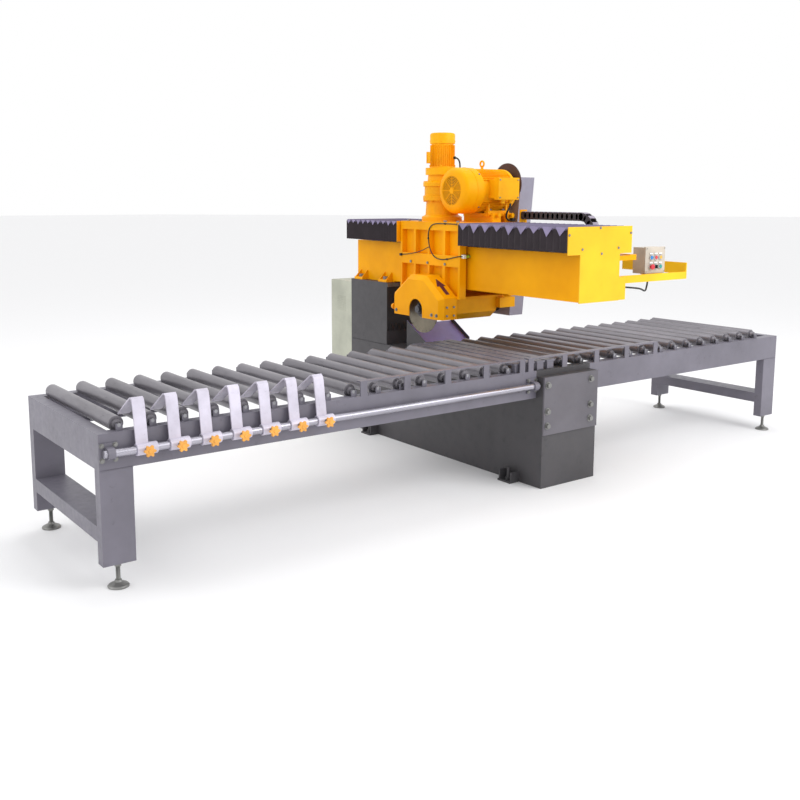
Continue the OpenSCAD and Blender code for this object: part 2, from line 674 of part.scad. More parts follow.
module motor_slide() color([0.95, 0.68, 0.15]) placed() {
    for (x = [mid_x + 80, mid_x + 210]) {
        block([x, x + 60], [motor_y - 180, motor_y + 150], [head_top, head_top + 40]);
        block([x - 10, x + 70], [motor_y - 180, motor_y - 160], [head_top, head_top + 62]);
        rod_y(x + 30, [motor_y - 200, motor_y - 160], head_top + 50, 9);
        hex_y(x + 30, [motor_y - 212, motor_y - 200], head_top + 50, 28);
    }
    block([mid_x + 66, mid_x + 288], [motor_y - 140, motor_y + 140], [head_top + 40, motor_z - 160]);
}

blade_x = [cut_x - 1.6, cut_x + 1.6];
house_x = [mid_x - head_out, mid_x + 200];
spindle_r = 25;

module spindle_housing() color([0.85, 0.55, 0.12]) placed() difference() {
    union() {
        plate_x(house_x, [[spindle_y - 190, beam_z - 87], [spindle_y - 190, spindle_z - 30],
                          [spindle_y - 130, spindle_z - 80], [spindle_y + 130, spindle_z - 80],
                          [spindle_y + 190, spindle_z - 30], [spindle_y + 190, beam_z - 87]]);
        block([mid_x + 200, mid_x + 352], [spindle_y - 235, spindle_y + 120], [spindle_z - 6, beam_z - 87]);
        rod_x([mid_x + 200, mid_x + 340], spindle_y, spindle_z, 58);
    }
    rod_x([house_x[0] + 40, house_x[1] + 60], spindle_y, spindle_z, 50);
    rod_x([house_x[0] - 1, mid_x + 353], spindle_y, spindle_z, spindle_r + 0.05);
}

// Spindle with the blade's inner flange, outer flange, nut and belt pulley
module spindle() color([0.45, 0.45, 0.47]) placed() {
    rod_x([cut_x - 58, pulley_x[1] + 8], spindle_y, spindle_z, spindle_r);
    rod_x([blade_x[0] - 14, blade_x[0]], spindle_y, spindle_z, 58);
    rod_x([blade_x[1], blade_x[1] + 30], spindle_y, spindle_z, 58);
    translate([cut_x - 46, spindle_y, spindle_z]) rotate([0, 90, 0]) cylinder(h = 30, r = 36, $fn = 6);
    grooved_pulley(spindle_y, spindle_z, 68);
}

// Core with gullets, and the diamond segments between them
module saw_blade() color([0.50, 0.48, 0.44]) placed() difference() {
    union() {
        rod_x([cut_x - 1.2, cut_x + 1.2], spindle_y, spindle_z, blade_r - 9);
        difference() {
            rod_x(blade_x, spindle_y, spindle_z, blade_r);
            rod_x([cut_x - 3, cut_x + 3], spindle_y, spindle_z, blade_r - 9);
        }
        rod_x(blade_x, spindle_y, spindle_z, 60);
    }
    rod_x([cut_x - 4, cut_x + 4], spindle_y, spindle_z, spindle_r);
    for (a = [0:15:345]) translate([cut_x, spindle_y, spindle_z]) rotate([a, 0, 0])
        block([-4, 4], [blade_r - 18, blade_r + 2], [-1.5, 1.5]);
}

guard_x = [cut_x - 69, mid_x - head_out];
guard_z = spindle_z - 53;

function guard_outline(inset) = let (r = blade_r + 116 - inset, top = spindle_z + 74 + blade_r - inset)
    [[spindle_y - r, guard_z], [spindle_y - r, spindle_z + 100 - inset / 2], [spindle_y - 90, top],
     [spindle_y + 90, top], [spindle_y + r, spindle_z + 100 - inset / 2], [spindle_y + r, guard_z]];

// A shell with a stepped rim round its outer face and a round-topped slot for the flange nut
module blade_guard() color([0.99, 0.70, 0.10]) placed() difference() {
    union() {
        plate_x([guard_x[0] + 26, guard_x[1]], guard_outline(0));
        plate_x([guard_x[0] + 12, guard_x[0] + 26], guard_outline(14));
        plate_x([guard_x[0], guard_x[0] + 12], guard_outline(28));
        rod_x([guard_x[0] - 2, guard_x[0]], spindle_y, spindle_z, 94);
        rod_y(cut_x - 30, [spindle_y + blade_r + 116, spindle_y + blade_r + 146], spindle_z - 6, 18);
    }
    plate_x([guard_x[0] + 4, guard_x[1] - 4],
            [for (p = guard_outline(32)) [p[0], p[1] - (p[1] < spindle_z ? 1 : 0)]]);
    hull() {
        rod_x([guard_x[0] - 3, guard_x[0] + 10], spindle_y, spindle_z, 74);
        rod_x([guard_x[0] - 3, guard_x[0] + 10], spindle_y, guard_z - 80, 74);
    }
    hull() {
        rod_x([guard_x[1] - 10, guard_x[1] + 1], spindle_y, spindle_z, 64);
        rod_x([guard_x[1] - 10, guard_x[1] + 1], spindle_y, guard_z - 80, 64);
    }
}

guard_top = motor_z + 101;
cover_low = spindle_z - 84;

// Sheet-metal cover round the pulleys, closed outside and open to the machine
module belt_guard() color([0.64, 0.63, 0.70]) placed() {
    outer = [[motor_y - 153, guard_top], [spindle_y - 156, cover_low],
             [spindle_y + 156, cover_low], [motor_y + 153, guard_top]];
    inner = [[motor_y - 150, guard_top - 3], [spindle_y - 153, cover_low + 3],
             [spindle_y + 153, cover_low + 3], [motor_y + 150, guard_top - 3]];
    difference() {
        plate_x([back_x + 4, back_x + 136], outer);
        plate_x([back_x + 3, back_x + 133], inner);
    }
    difference() {
        union() {
            plate_x([back_x, back_x + 4], outer);
            rod_x([back_x, back_x + 4], motor_y, motor_z + 52, 153);
        }
        rod_x([back_x - 1, back_x + 5], motor_y, motor_z, 60);
        rod_x([back_x - 1, back_x + 5], spindle_y, spindle_z, 62);
    }
}

// Four belts: the outer tangent loop of the two pulleys
module drive_belts() color([0.10, 0.10, 0.10]) placed() {
    for (i = [0:3]) difference() {
        belt_loop(i, 86, 66);
        belt_loop(i, 76, 56);
    }
}

module belt_loop(i, r1, r2) translate([pulley_x[0] + 9.5 + i * 20, 0, 0]) rotate([90, 0, 90])
    linear_extrude(13) belt_outline(r1, r2);

module belt_outline(r1, r2) {
    d = [spindle_y - motor_y, spindle_z - motor_z];
    gap_a = atan2(d[1], d[0]);
    spread = acos((r1 - r2) / norm(d));
    translate([motor_y, motor_z]) circle(r1);
    translate([spindle_y, spindle_z]) circle(r2);
    polygon([for (s = [1, -1]) each [for (k = s > 0 ? [0, 1] : [1, 0])
        let (a = gap_a + s * spread, c = k == 0 ? [motor_y, motor_z] : [spindle_y, spindle_z],
             r = k == 0 ? r1 : r2) [c[0] + r * cos(a), c[1] + r * sin(a)]]]);
}

// ---- Cables and sensor ----

module drag_chain() color([0.22, 0.20, 0.21]) placed() {
    x = [chain_x - chain_w / 2, chain_x + chain_w / 2];
    loop_z = chain_tray_z + gap + chain_r;
    block(x, [chain_y, head_y0 - 11], [loop_z + chain_r - chain_t, loop_z + chain_r]);
    block(x, [chain_y, spindle_y - 160], [loop_z - chain_r, loop_z - chain_r + chain_t]);
    difference() {
        rod_x(x, chain_y, loop_z, chain_r);
        rod_x([x[0] - 1, x[1] + 1], chain_y, loop_z, chain_r - chain_t);
        block([x[0] - 1, x[1] + 1], [chain_y, chain_y + chain_r + 1],
              [loop_z - chain_r - 1, loop_z + chain_r + 1]);
    }
}

module sensor() color([0.80, 0.82, 0.60]) placed() {
    rod_x([mid_x - 252, mid_x - 189], head_y0 - 14, head_z - 213, 11);
    block([mid_x - 254, mid_x - 230], [head_y0 - 26, head_y0], [head_z - 226, head_z - 200]);
}

// A tube swept along a route in one plane: a ring of corners at each point
function ring_at(route, i, r, sides) = let (
        a = route[max(i - 1, 0)], b = route[min(i + 1, len(route) - 1)],
        t = (b - a) / norm(b - a), n = [-t[1], t[0]])
    [for (k = [0:sides - 1]) let (q = 360 * k / sides)
        [cable_x + r * sin(q), route[i][0] + r * cos(q) * n[0], route[i][1] + r * cos(q) * n[1]]];

module tube(route, r, sides = 8) {
    n = len(route);
    polyhedron(
        points = [for (i = [0:n - 1]) each ring_at(route, i, r, sides)],
        faces = concat(
            [for (i = [0:n - 2], k = [0:sides - 1]) [i * sides + k, i * sides + (k + 1) % sides,
                (i + 1) * sides + (k + 1) % sides, (i + 1) * sides + k]],
            [[for (k = [sides - 1:-1:0]) k], [for (k = [0:sides - 1]) (n - 1) * sides + k]]));
}

function smooth(p) = concat([p[0]], [for (i = [0:len(p) - 2]) each
    [0.75 * p[i] + 0.25 * p[i + 1], 0.25 * p[i] + 0.75 * p[i + 1]]], [p[len(p) - 1]]);

module sensor_cable() color([0.08, 0.08, 0.09]) placed()
    tube(smooth(smooth([for (p = cable_route) [spindle_y + p[0], head_z + p[1]]])), 3.5);

infeed_frame();
outfeed_frame();
levelling_feet();
base();
joint_plate();
bolts();
column();
beam();
beam_cover();
guide_rails();
front_bellows();
rear_bellows();
roller_axles();
for (i = [1:turning_n]) turning_roller(i);
infeed_rollers();
outfeed_rollers();
bed_strips();
fences();
stop_rod();
for (i = [1:stop_n]) stop(i);
splash_ramp();
rubber_curtain();
cabinet();
cabinet_door();
control_arm();
control_box();
for (i = [1:6]) button(i);
saddle();
lift_nut();
head_frame();
lift_gearbox();
lift_motor();
lift_screw();
saw_motor();
fan_cowl();
motor_pulley();
motor_slide();
spindle_housing();
spindle();
drive_belts();
belt_guard();
saw_blade();
blade_guard();
drag_chain();
sensor();
sensor_cable();
traverse_screw();
traverse_motor();
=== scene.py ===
import math

import bmesh
import bpy
from mathutils import Matrix, Vector


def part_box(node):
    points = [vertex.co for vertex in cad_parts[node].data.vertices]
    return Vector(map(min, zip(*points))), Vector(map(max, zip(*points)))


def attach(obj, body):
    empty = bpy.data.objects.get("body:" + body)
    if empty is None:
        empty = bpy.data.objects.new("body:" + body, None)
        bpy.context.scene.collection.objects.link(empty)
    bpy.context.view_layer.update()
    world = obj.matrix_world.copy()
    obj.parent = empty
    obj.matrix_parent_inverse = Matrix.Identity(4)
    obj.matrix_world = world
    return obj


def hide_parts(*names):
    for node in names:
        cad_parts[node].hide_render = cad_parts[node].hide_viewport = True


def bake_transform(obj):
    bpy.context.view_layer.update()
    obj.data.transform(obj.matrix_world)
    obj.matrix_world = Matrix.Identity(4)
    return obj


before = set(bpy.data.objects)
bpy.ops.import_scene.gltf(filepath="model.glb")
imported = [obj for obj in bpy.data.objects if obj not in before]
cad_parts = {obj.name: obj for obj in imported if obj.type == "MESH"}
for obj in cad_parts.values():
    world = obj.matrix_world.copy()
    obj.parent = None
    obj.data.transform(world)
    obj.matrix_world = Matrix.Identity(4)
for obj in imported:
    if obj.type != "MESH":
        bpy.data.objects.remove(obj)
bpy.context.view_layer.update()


# ---- Studio -------------------------------------------------------------------------------
# A pale floor with soft light from the operator's side, and the camera at head height off
# the infeed end of the table.

camera_data = bpy.data.cameras.new("camera")
camera_data.lens = 43.236
camera_data.sensor_width = 36.0
camera_data.shift_x = -0.001
camera_data.shift_y = -0.077
camera_data.clip_end = 100.0
camera = bpy.data.objects.new("camera", camera_data)
camera.location = (-4.3392, -5.4679, 1.8952)
camera.rotation_euler = (math.radians(90.0 - 8.373), math.radians(-0.225), math.radians(-36.942))
bpy.context.scene.collection.objects.link(camera)
bpy.context.scene.camera = camera
bpy.context.scene.view_settings.view_transform = "Standard"

world = bpy.data.worlds.new("studio")
bpy.context.scene.world = world
world.use_nodes = True
sky = world.node_tree.nodes["Background"]
sky.inputs["Color"].default_value = (1.0, 1.0, 1.0, 1.0)
sky.inputs["Strength"].default_value = 1.0

for name, place, aim, size, watts in (
        ("key light", (2.5, -6.0, 4.6), (0.2, -0.3, 1.0), 4.5, 215.0),
        ("side light", (-6.0, 0.5, 4.0), (0.0, 0.0, 1.0), 3.5, 45.0),
        ("top light", (0.5, 1.5, 6.5), (0.2, 0.0, 0.8), 5.0, 105.0)):
    lamp = bpy.data.lights.new(name, "AREA")
    lamp.size = size
    lamp.energy = watts
    lamp_object = bpy.data.objects.new(name, lamp)
    lamp_object.location = place
    lamp_object.rotation_euler = (Vector(aim) - Vector(place)).to_track_quat("-Z", "Y").to_euler()
    bpy.context.scene.collection.objects.link(lamp_object)

reach = 90.0
floor_mesh = bpy.data.meshes.new("floor")
floor_mesh.from_pydata([(-reach, -reach, 0), (reach, -reach, 0), (reach, reach, 0), (-reach, reach, 0)],
                       [], [(0, 1, 2, 3)])
floor = bpy.data.objects.new("floor", floor_mesh)
bpy.context.scene.collection.objects.link(floor)
floor_finish = bpy.data.materials.new("pale floor")
floor_finish.use_nodes = True
floor_surface = floor_finish.node_tree.nodes["Principled BSDF"]
floor_surface.inputs["Base Color"].default_value = (0.90, 0.90, 0.91, 1)
floor_surface.inputs["Roughness"].default_value = 0.9
floor_mesh.materials.append(floor_finish)


# ---- Table frames -------------------------------------------------------------------------
# Two lengths of welded channel on box legs, sprayed in one dark violet-grey coat. The weld
# beads are left as laid and the paint has the slight orange peel of a workshop gun.

def tone(red, green, blue):
    """An sRGB colour out of 255 as a linear one."""
    return tuple((c / 255 / 12.92) if c < 11 else ((c / 255 + 0.055) / 1.055) ** 2.4
                 for c in (red, green, blue)) + (1.0,)


def finish(name, colour, roughness, metallic=0.0, worn=None, scale=3.0, grain=260.0, bump=0.12,
           stretch=(1.0, 1.0, 1.0), wear=0.5, coat=0.0, specular=0.5):
    """A surface with a base colour that drifts, a worn or dusty second colour in patches, a
    roughness that varies and a fine relief, all placed by object coordinates."""
    material = bpy.data.materials.new(name)
    material.use_nodes = True
    nodes, links = material.node_tree.nodes, material.node_tree.links
    surface = nodes["Principled BSDF"]
    surface.inputs["Metallic"].default_value = metallic
    surface.inputs["Specular IOR Level"].default_value = specular
    surface.inputs["Coat Weight"].default_value = coat
    surface.inputs["Coat Roughness"].default_value = 0.12
    place = nodes.new("ShaderNodeTexCoord")
    spread = nodes.new("ShaderNodeMapping")
    spread.inputs["Scale"].default_value = stretch
    links.new(place.outputs["Object"], spread.inputs["Vector"])

    def noise(size, detail, rough):
        n = nodes.new("ShaderNodeTexNoise")
        n.inputs["Scale"].default_value = size
        n.inputs["Detail"].default_value = detail
        n.inputs["Roughness"].default_value = rough
        links.new(spread.outputs["Vector"], n.inputs["Vector"])
        return n.outputs["Fac"]

    def band(value, low, high, out_low, out_high):
        m = nodes.new("ShaderNodeMapRange")
        m.inputs["From Min"].default_value = low
        m.inputs["From Max"].default_value = high
        m.inputs["To Min"].default_value = out_low
        m.inputs["To Max"].default_value = out_high
        links.new(value, m.inputs["Value"])
        return m.outputs["Result"]

    def mix(factor, first, second):
        m = nodes.new("ShaderNodeMix")
        m.data_type = "RGBA"
        links.new(factor, m.inputs["Factor"])
        for socket, value in (("A", first), ("B", second)):
            target = [i for i in m.inputs if i.name == socket and i.type == "RGBA"][0]
            if isinstance(value, tuple):
                target.default_value = value
            else:
                links.new(value, target)
        return [o for o in m.outputs if o.type == "RGBA"][0]

    cloud, fine = noise(scale, 4.0, 0.6), noise(scale * 9.0, 6.0, 0.7)
    dark = tuple(c * 0.84 for c in colour[:3]) + (1.0,)
    light = tuple(min(1.0, c * 1.10) for c in colour[:3]) + (1.0,)
    shade = mix(band(cloud, 0.35, 0.65, 0.0, 1.0), dark, light)
    if worn:
        shade = mix(band(fine, 0.60, 0.72, 0.0, wear), shade, worn)
    links.new(shade, surface.inputs["Base Color"])
    links.new(band(fine, 0.3, 0.7, max(0.03, roughness - 0.08), roughness + 0.10),
              surface.inputs["Roughness"])
    relief = nodes.new("ShaderNodeBump")
    relief.inputs["Strength"].default_value = bump
    relief.inputs["Distance"].default_value = 0.001
    links.new(noise(grain, 2.0, 0.5), relief.inputs["Height"])
    links.new(relief.outputs["Normal"], surface.inputs["Normal"])
    return material


def dress(material, *nodes, edge=0.0015):
    """The CAD piece as it is, with its finish and its sharp edges broken."""
    for node in nodes:
        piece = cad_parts[node]
        piece.data.materials.clear()
        piece.data.materials.append(material)
        for polygon in piece.data.polygons:
            polygon.use_smooth = True
        piece.data.set_sharp_from_angle(angle=math.radians(32))
        if edge:
            broken = piece.modifiers.new("broken edges", "BEVEL")
            broken.width = edge
            broken.segments = 2
            broken.limit_method = "ANGLE"
            broken.angle_limit = math.radians(50)
            broken.harden_normals = True


def box(bm, low, high, mat=0):
    made = bmesh.ops.create_cube(bm, size=1.0)["verts"]
    for v in made:
        v.co = Vector([low[i] + (v.co[i] + 0.5) * (high[i] - low[i]) for i in range(3)])
    for f in {f for v in made for f in v.link_faces}:
        f.material_index = mat
    return made


def rod(bm, start, end, radius, sides=32, end_radius=None, mat=0):
    start, end = Vector(start), Vector(end)
    turn = (end - start).to_track_quat("Z", "Y").to_matrix().to_4x4()
    made = bmesh.ops.create_cone(
        bm, cap_ends=True, segments=sides, radius1=radius,
        radius2=radius if end_radius is None else end_radius, depth=(end - start).length,
        matrix=Matrix.Translation((start + end) / 2) @ turn)["verts"]
    for f in {f for v in made for f in v.link_faces}:
        f.material_index = mat
    return made


def turned(bm, centre, axis, profile, sides=48):
    """A closed outline of (radius, distance along the axis), turned round the axis."""
    axis = Vector(axis).normalized()
    side = axis.orthogonal().normalized()
    ring = [bm.verts.new(Vector(centre) + side * r + axis * h) for r, h in profile]
    edges = [bm.edges.new((ring[i], ring[(i + 1) % len(ring)])) for i in range(len(ring))]
    bmesh.ops.spin(bm, geom=ring + edges, cent=centre, axis=axis, angle=2 * math.pi,
                   steps=sides, use_merge=True)
    bmesh.ops.remove_doubles(bm, verts=bm.verts[:], dist=1e-6)


def prism(bm, first, second, mat=0):
    """Two like rings of corners, each filled in, with walls from one to the other."""
    a, b = [bm.verts.new(p) for p in first], [bm.verts.new(p) for p in second]
    n = len(a)
    faces = [bm.faces.new(a), bm.faces.new(b[::-1])]
    faces += [bm.faces.new((a[i], b[i], b[(i + 1) % n], a[(i + 1) % n])) for i in range(n)]
    for f in faces:
        f.material_index = mat


def sheet(bm, outline, axis, low, high, mat=0):
    """A flat outline across the x or y axis, thickened from low to high along it."""
    def put(a, b, c):
        return (c, a, b) if axis == "x" else (a, c, b)
    prism(bm, [put(a, b, low) for a, b in outline], [put(a, b, high) for a, b in outline], mat)


def piece(name, bm, materials, body, slot, edge=0.0012, smooth=32):
    """The finished mesh as an object that moves with a body, its edges broken."""
    name = name.replace(" ", "_")
    bmesh.ops.recalc_face_normals(bm, faces=bm.faces[:])
    mesh = bpy.data.meshes.new(name)
    bm.to_mesh(mesh)
    bm.free()
    for material in materials:
        mesh.materials.append(material)
    for polygon in mesh.polygons:
        polygon.use_smooth = True
    mesh.set_sharp_from_angle(angle=math.radians(smooth))
    made = bpy.data.objects.new(name, mesh)
    bpy.context.scene.collection.objects.link(made)
    if edge:
        broken = made.modifiers.new("broken edges", "BEVEL")
        broken.width = edge
        broken.segments = 2
        broken.limit_method = "ANGLE"
        broken.angle_limit = math.radians(40)
        broken.harden_normals = True
    if body:
        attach(made, body)
    return made


def weld(bm, start, end, radius=0.003, step=0.004):
    """A bead laid as overlapping drops along a seam."""
    start, end = Vector(start), Vector(end)
    count = max(2, int((end - start).length / step))
    for i in range(count):
        drop = radius * (1.0 + 0.12 * math.sin(i * 2.3))
        bmesh.ops.create_icosphere(bm, subdivisions=1, radius=drop,
                                   matrix=Matrix.Translation(start.lerp(end, (i + 0.5) / count)))


frame_paint = finish("violet-grey table paint", tone(112, 109, 120), 0.42, worn=tone(88, 85, 93),
                     scale=2.2, grain=420.0, bump=0.10)
dress(frame_paint, "infeed_frame", "outfeed_frame", "fences", "bed_strips", edge=0.002)

table_depth = 1.114
bracket_h, rail_h, leg_w = 0.034, 0.180, 0.166
table_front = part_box("infeed_frame")[1].y - table_depth
bm = bmesh.new()
for frame_node, inner in (("infeed_frame", 1), ("outfeed_frame", -1)):
    low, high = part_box(frame_node)
    rail_low = high.z - bracket_h - rail_h
    end_x = low.x if inner == 1 else high.x
    leg_x = end_x + inner * leg_w
    seam_x = end_x + inner * 0.004
    for y, toward in ((table_front, 1), (table_front + table_depth, -1)):
        face_y, beam_y = y - toward * 0.0005, y + toward * 0.067
        weld(bm, (seam_x, face_y, rail_low), (leg_x, face_y, rail_low))
        weld(bm, (leg_x, y + toward * 0.004, rail_low), (leg_x, y + toward * 0.062, rail_low))
        for z in (0.235, 0.312):
            weld(bm, (seam_x, beam_y, z), (leg_x - inner * 0.004, beam_y, z))
piece("table weld beads", bm, [frame_paint], "machine", "frame_paint", edge=0)


# ---- Rollers ------------------------------------------------------------------------------
# Plain steel tubes with a stepped end disc, each on a fixed axle that drops into a notched
# bracket. The tubes are scuffed along their length by the stone that rolls over them.

roller_steel = finish("scuffed roller steel", tone(128, 125, 131), 0.38, metallic=0.55,
                      worn=tone(98, 95, 102), scale=5.0, grain=180.0, bump=0.16,
                      stretch=(1.0, 0.25, 1.0), wear=0.6)
axle_steel = finish("turned axle steel", tone(150, 150, 154), 0.32, metallic=0.9,
                    worn=tone(110, 104, 98), scale=12.0, grain=500.0, bump=0.08)
dress(roller_steel, "roller_1", "roller_2", "infeed_rollers", "outfeed_rollers", edge=0.0018)
dress(axle_steel, "roller_axles", edge=0.001)


# ---- Levelling feet -----------------------------------------------------------------------
# Turned pads on threaded studs, one under each leg, zinc plated and dulled near the floor.

zinc = finish("dull zinc", tone(140, 140, 138), 0.40, metallic=0.75, worn=tone(96, 88, 76),
              scale=9.0, grain=300.0, bump=0.15)
dress(zinc, "levelling_feet", "bolts", edge=0.0008)

bm = bmesh.new()
low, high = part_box("levelling_feet")
pad_r, thread_low, turns = 0.053, 0.038, 26
thread_pitch, root_r, crest_r = 0.0026, 0.0100, 0.0112
for x in (low.x + pad_r, high.x - pad_r):
    for y in (low.y + pad_r, high.y - pad_r):
        for i in range(turns):
            z = thread_low + i * thread_pitch
            crest_z = z + thread_pitch / 2
            rod(bm, (x, y, z), (x, y, crest_z), root_r, 20, crest_r)
            rod(bm, (x, y, crest_z), (x, y, z + thread_pitch), crest_r, 20, root_r)
piece("levelling stud threads", bm, [zinc], "machine", "zinc", edge=0)


# ---- Base and column ----------------------------------------------------------------------
# A welded steel box open underneath, with the column standing on its back end. Both are
# near-black; the plate that joins the two table halves is bolted over the base's front.

base_paint = finish("near-black base paint", tone(70, 68, 71), 0.50, worn=tone(52, 50, 53),
                    scale=1.6, grain=360.0, bump=0.12)
dress(base_paint, "base", "column", edge=0.002)
plate_paint = finish("grey joint plate paint", tone(96, 93, 100), 0.42, worn=tone(76, 73, 81),
                     scale=2.5, grain=420.0, bump=0.10)
dress(plate_paint, "joint_plate", edge=0.0015)

bm = bmesh.new()
low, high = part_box("column")
bead_r, bead_step, off, corner = 0.0035, 0.005, 0.0005, 0.01
for x in (low.x - off, high.x + off):
    weld(bm, (x, low.y + corner, low.z), (x, high.y - corner, low.z), bead_r, bead_step)
weld(bm, (low.x + corner, low.y - off, low.z), (high.x - corner, low.y - off, low.z), bead_r, bead_step)
piece("column weld bead", bm, [base_paint], "machine", "base_paint", edge=0)


# ---- Curtain and splash ramp --------------------------------------------------------------
# The black rubber curtain hangs off a clamp strip on the column's front. The ramp below it
# is folded sheet that sheds water and slurry back to the base, between two side plates
# whose dark base paint is painted shade.

curtain_rubber = finish("black curtain rubber", tone(44, 42, 44), 0.62, worn=tone(92, 88, 84),
                        scale=4.0, grain=240.0, bump=0.2, wear=0.35)
dress(curtain_rubber, "rubber_curtain", edge=0.0008)
ramp_paint = finish("violet-grey ramp paint", tone(146, 134, 206), 0.38, worn=tone(118, 108, 168),
                    scale=3.0, grain=380.0, bump=0.1)
dress(ramp_paint, "splash_ramp", edge=0.001)
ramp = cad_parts["splash_ramp"].data
ramp.materials.append(base_paint)
# The side plates, the faces looking along x, take the dark base paint as painted shade
for polygon in ramp.polygons:
    if abs(polygon.normal.x) > 0.9:
        polygon.material_index = 1

bm = bmesh.new()
low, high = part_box("rubber_curtain")
strip_t, strip_h, screws, screw_inset = 0.003, 0.03, 6, 0.04
box(bm, (low.x, low.y - strip_t, high.z - strip_h), (high.x, low.y, high.z))
for i in range(screws):
    x = low.x + screw_inset + i * (high.x - low.x - 2 * screw_inset) / (screws - 1)
    z = high.z - strip_h / 2
    rod(bm, (x, low.y - strip_t, z), (x, low.y - strip_t - 0.005, z), 0.008, 6)
piece("curtain clamp strip", bm, [zinc], "machine", "zinc", edge=0.0006)


# ---- Stops and their rod ------------------------------------------------------------------
# Seven bent flats swing on collars along a ground rod in front of the infeed rail. Each is
# locked by a cast star knob, and the sheet is folded down between two rollers.

rod_chrome = finish("ground rod", tone(168, 166, 176), 0.30, metallic=0.80, worn=tone(146, 144, 152),
                    scale=5.0, grain=600.0, bump=0.03, stretch=(0.15, 1.0, 1.0), wear=0.3)
dress(rod_chrome, "stop_rod", edge=0.002)
stop_paint = finish("light stop paint", tone(206, 201, 216), 0.40, metallic=0.15,
                    worn=tone(160, 154, 170), scale=6.0, grain=420.0, bump=0.10)
knob_cast = finish("orange cast knob", tone(236, 168, 74), 0.45, worn=tone(180, 116, 48),
                   scale=20.0, grain=500.0, bump=0.15)
rod_low, rod_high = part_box("stop_rod")
rod_centre = (rod_low + rod_high) / 2
flat_half = 0.031
collar_r, bore_r, collar_long = 0.030, 0.0203, 0.106
for i in range(1, 8):
    node = "stop_%d" % i
    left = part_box(node)[0].x
    x, y, z = (left + flat_half, rod_centre.y, rod_centre.z)
    bm = bmesh.new()
    turned(bm, (left + 0.001, y, z), (1, 0, 0),
           [(bore_r, 0.0), (collar_r - 0.002, 0.0), (collar_r, 0.002), (collar_r, collar_long - 0.002),
            (collar_r - 0.002, collar_long), (bore_r, collar_long)])
    outer = [(y - 0.008, z + 0.024), (y, z + 0.024), (y + 0.0285, z + 0.205), (y + 0.034, z + 0.226),
             (y + 0.045, z + 0.240), (y + 0.060, z + 0.238), (y + 0.222, z + 0.132),
             (y + 0.226, z + 0.139), (y + 0.062, z + 0.246), (y + 0.043, z + 0.250),
             (y + 0.028, z + 0.238), (y + 0.020, z + 0.212)]
    sheet(bm, outer, "x", x - flat_half, x + flat_half)
    for seam_x in (x - flat_half + 0.0005, x + flat_half - 0.0005):
        weld(bm, (seam_x, y - 0.010, z + collar_r), (seam_x, y + 0.002, z + collar_r), 0.003, 0.003)
    knob_x = x + 0.016
    rod(bm, (knob_x, y - 0.029, z), (knob_x, y - 0.054, z), 0.007, 20, mat=2)
    rod(bm, (knob_x, y - 0.028, z), (knob_x, y - 0.034, z), 0.014, 6, mat=2)
    lobes = []
    for k in range(72):
        a = k * 2 * math.pi / 72
        r = 0.0255 + 0.0050 * math.cos(6 * a)
        lobes.append((knob_x + r * math.cos(a), z + r * math.sin(a)))
    sheet(bm, lobes, "y", y - 0.070, y - 0.056, mat=1)
    rod(bm, (knob_x, y - 0.056, z), (knob_x, y - 0.050, z), 0.015, 24, mat=1)
    rod(bm, (knob_x, y - 0.070, z), (knob_x, y - 0.074, z), 0.012, 24, 0.009, mat=1)
    made = piece("stop %d" % i, bm, [stop_paint, knob_cast, zinc], node, "stop_grey", edge=0.001)
    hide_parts(node)


# ---- Beam and its cover -------------------------------------------------------------------
# A long welded box in bright yellow. Its front is closed by a lighter folded cover that also
# blanks the bellows, and a tray down the far side carries the chain.

yellow = finish("machine yellow", tone(255, 170, 2), 0.42, worn=tone(240, 146, 1), scale=1.5,
                grain=380.0, bump=0.08, wear=0.3, specular=0.12)
cover_yellow = finish("cover yellow", tone(250, 192, 34), 0.42, worn=tone(240, 174, 24), scale=1.5,
                      grain=420.0, bump=0.06, wear=0.3, specular=0.25)
dress(yellow, "beam", edge=0.003)
dress(cover_yellow, "beam_cover", edge=0.0012)
dress(cover_yellow, "control_arm", edge=0.0015)
rail_steel = finish("ground rail steel", tone(176, 176, 180), 0.22, metallic=0.95, worn=tone(140, 138, 134),
                    scale=8.0, grain=500.0, bump=0.05, stretch=(1.0, 0.2, 1.0))
dress(rail_steel, "guide_rails", "traverse_screw", "lift_screw", edge=0.001)


# ---- Bellows ------------------------------------------------------------------------------
# Coated fabric over the guide rails, folded in pleats and sewn to stiff frames. The front one
# runs from the beam's cover to the carriage and the rear one on to the column end; the
# carriage squeezes one and draws out the other.

bellows_cloth = finish("coated bellows cloth", tone(46, 38, 43), 0.60, worn=tone(68, 58, 68),
                       scale=9.0, grain=700.0, bump=0.25, wear=0.35, specular=0.3)
bellows_top = finish("dusty bellows top", tone(98, 90, 116), 0.62, worn=tone(128, 120, 146),
                     scale=8.0, grain=700.0, bump=0.25, wear=0.6, specular=0.3)
gusset_cloth = finish("pale gusset cloth", tone(144, 134, 166), 0.60, worn=tone(116, 106, 136),
                      scale=12.0, grain=700.0, bump=0.25, wear=0.5, specular=0.3)


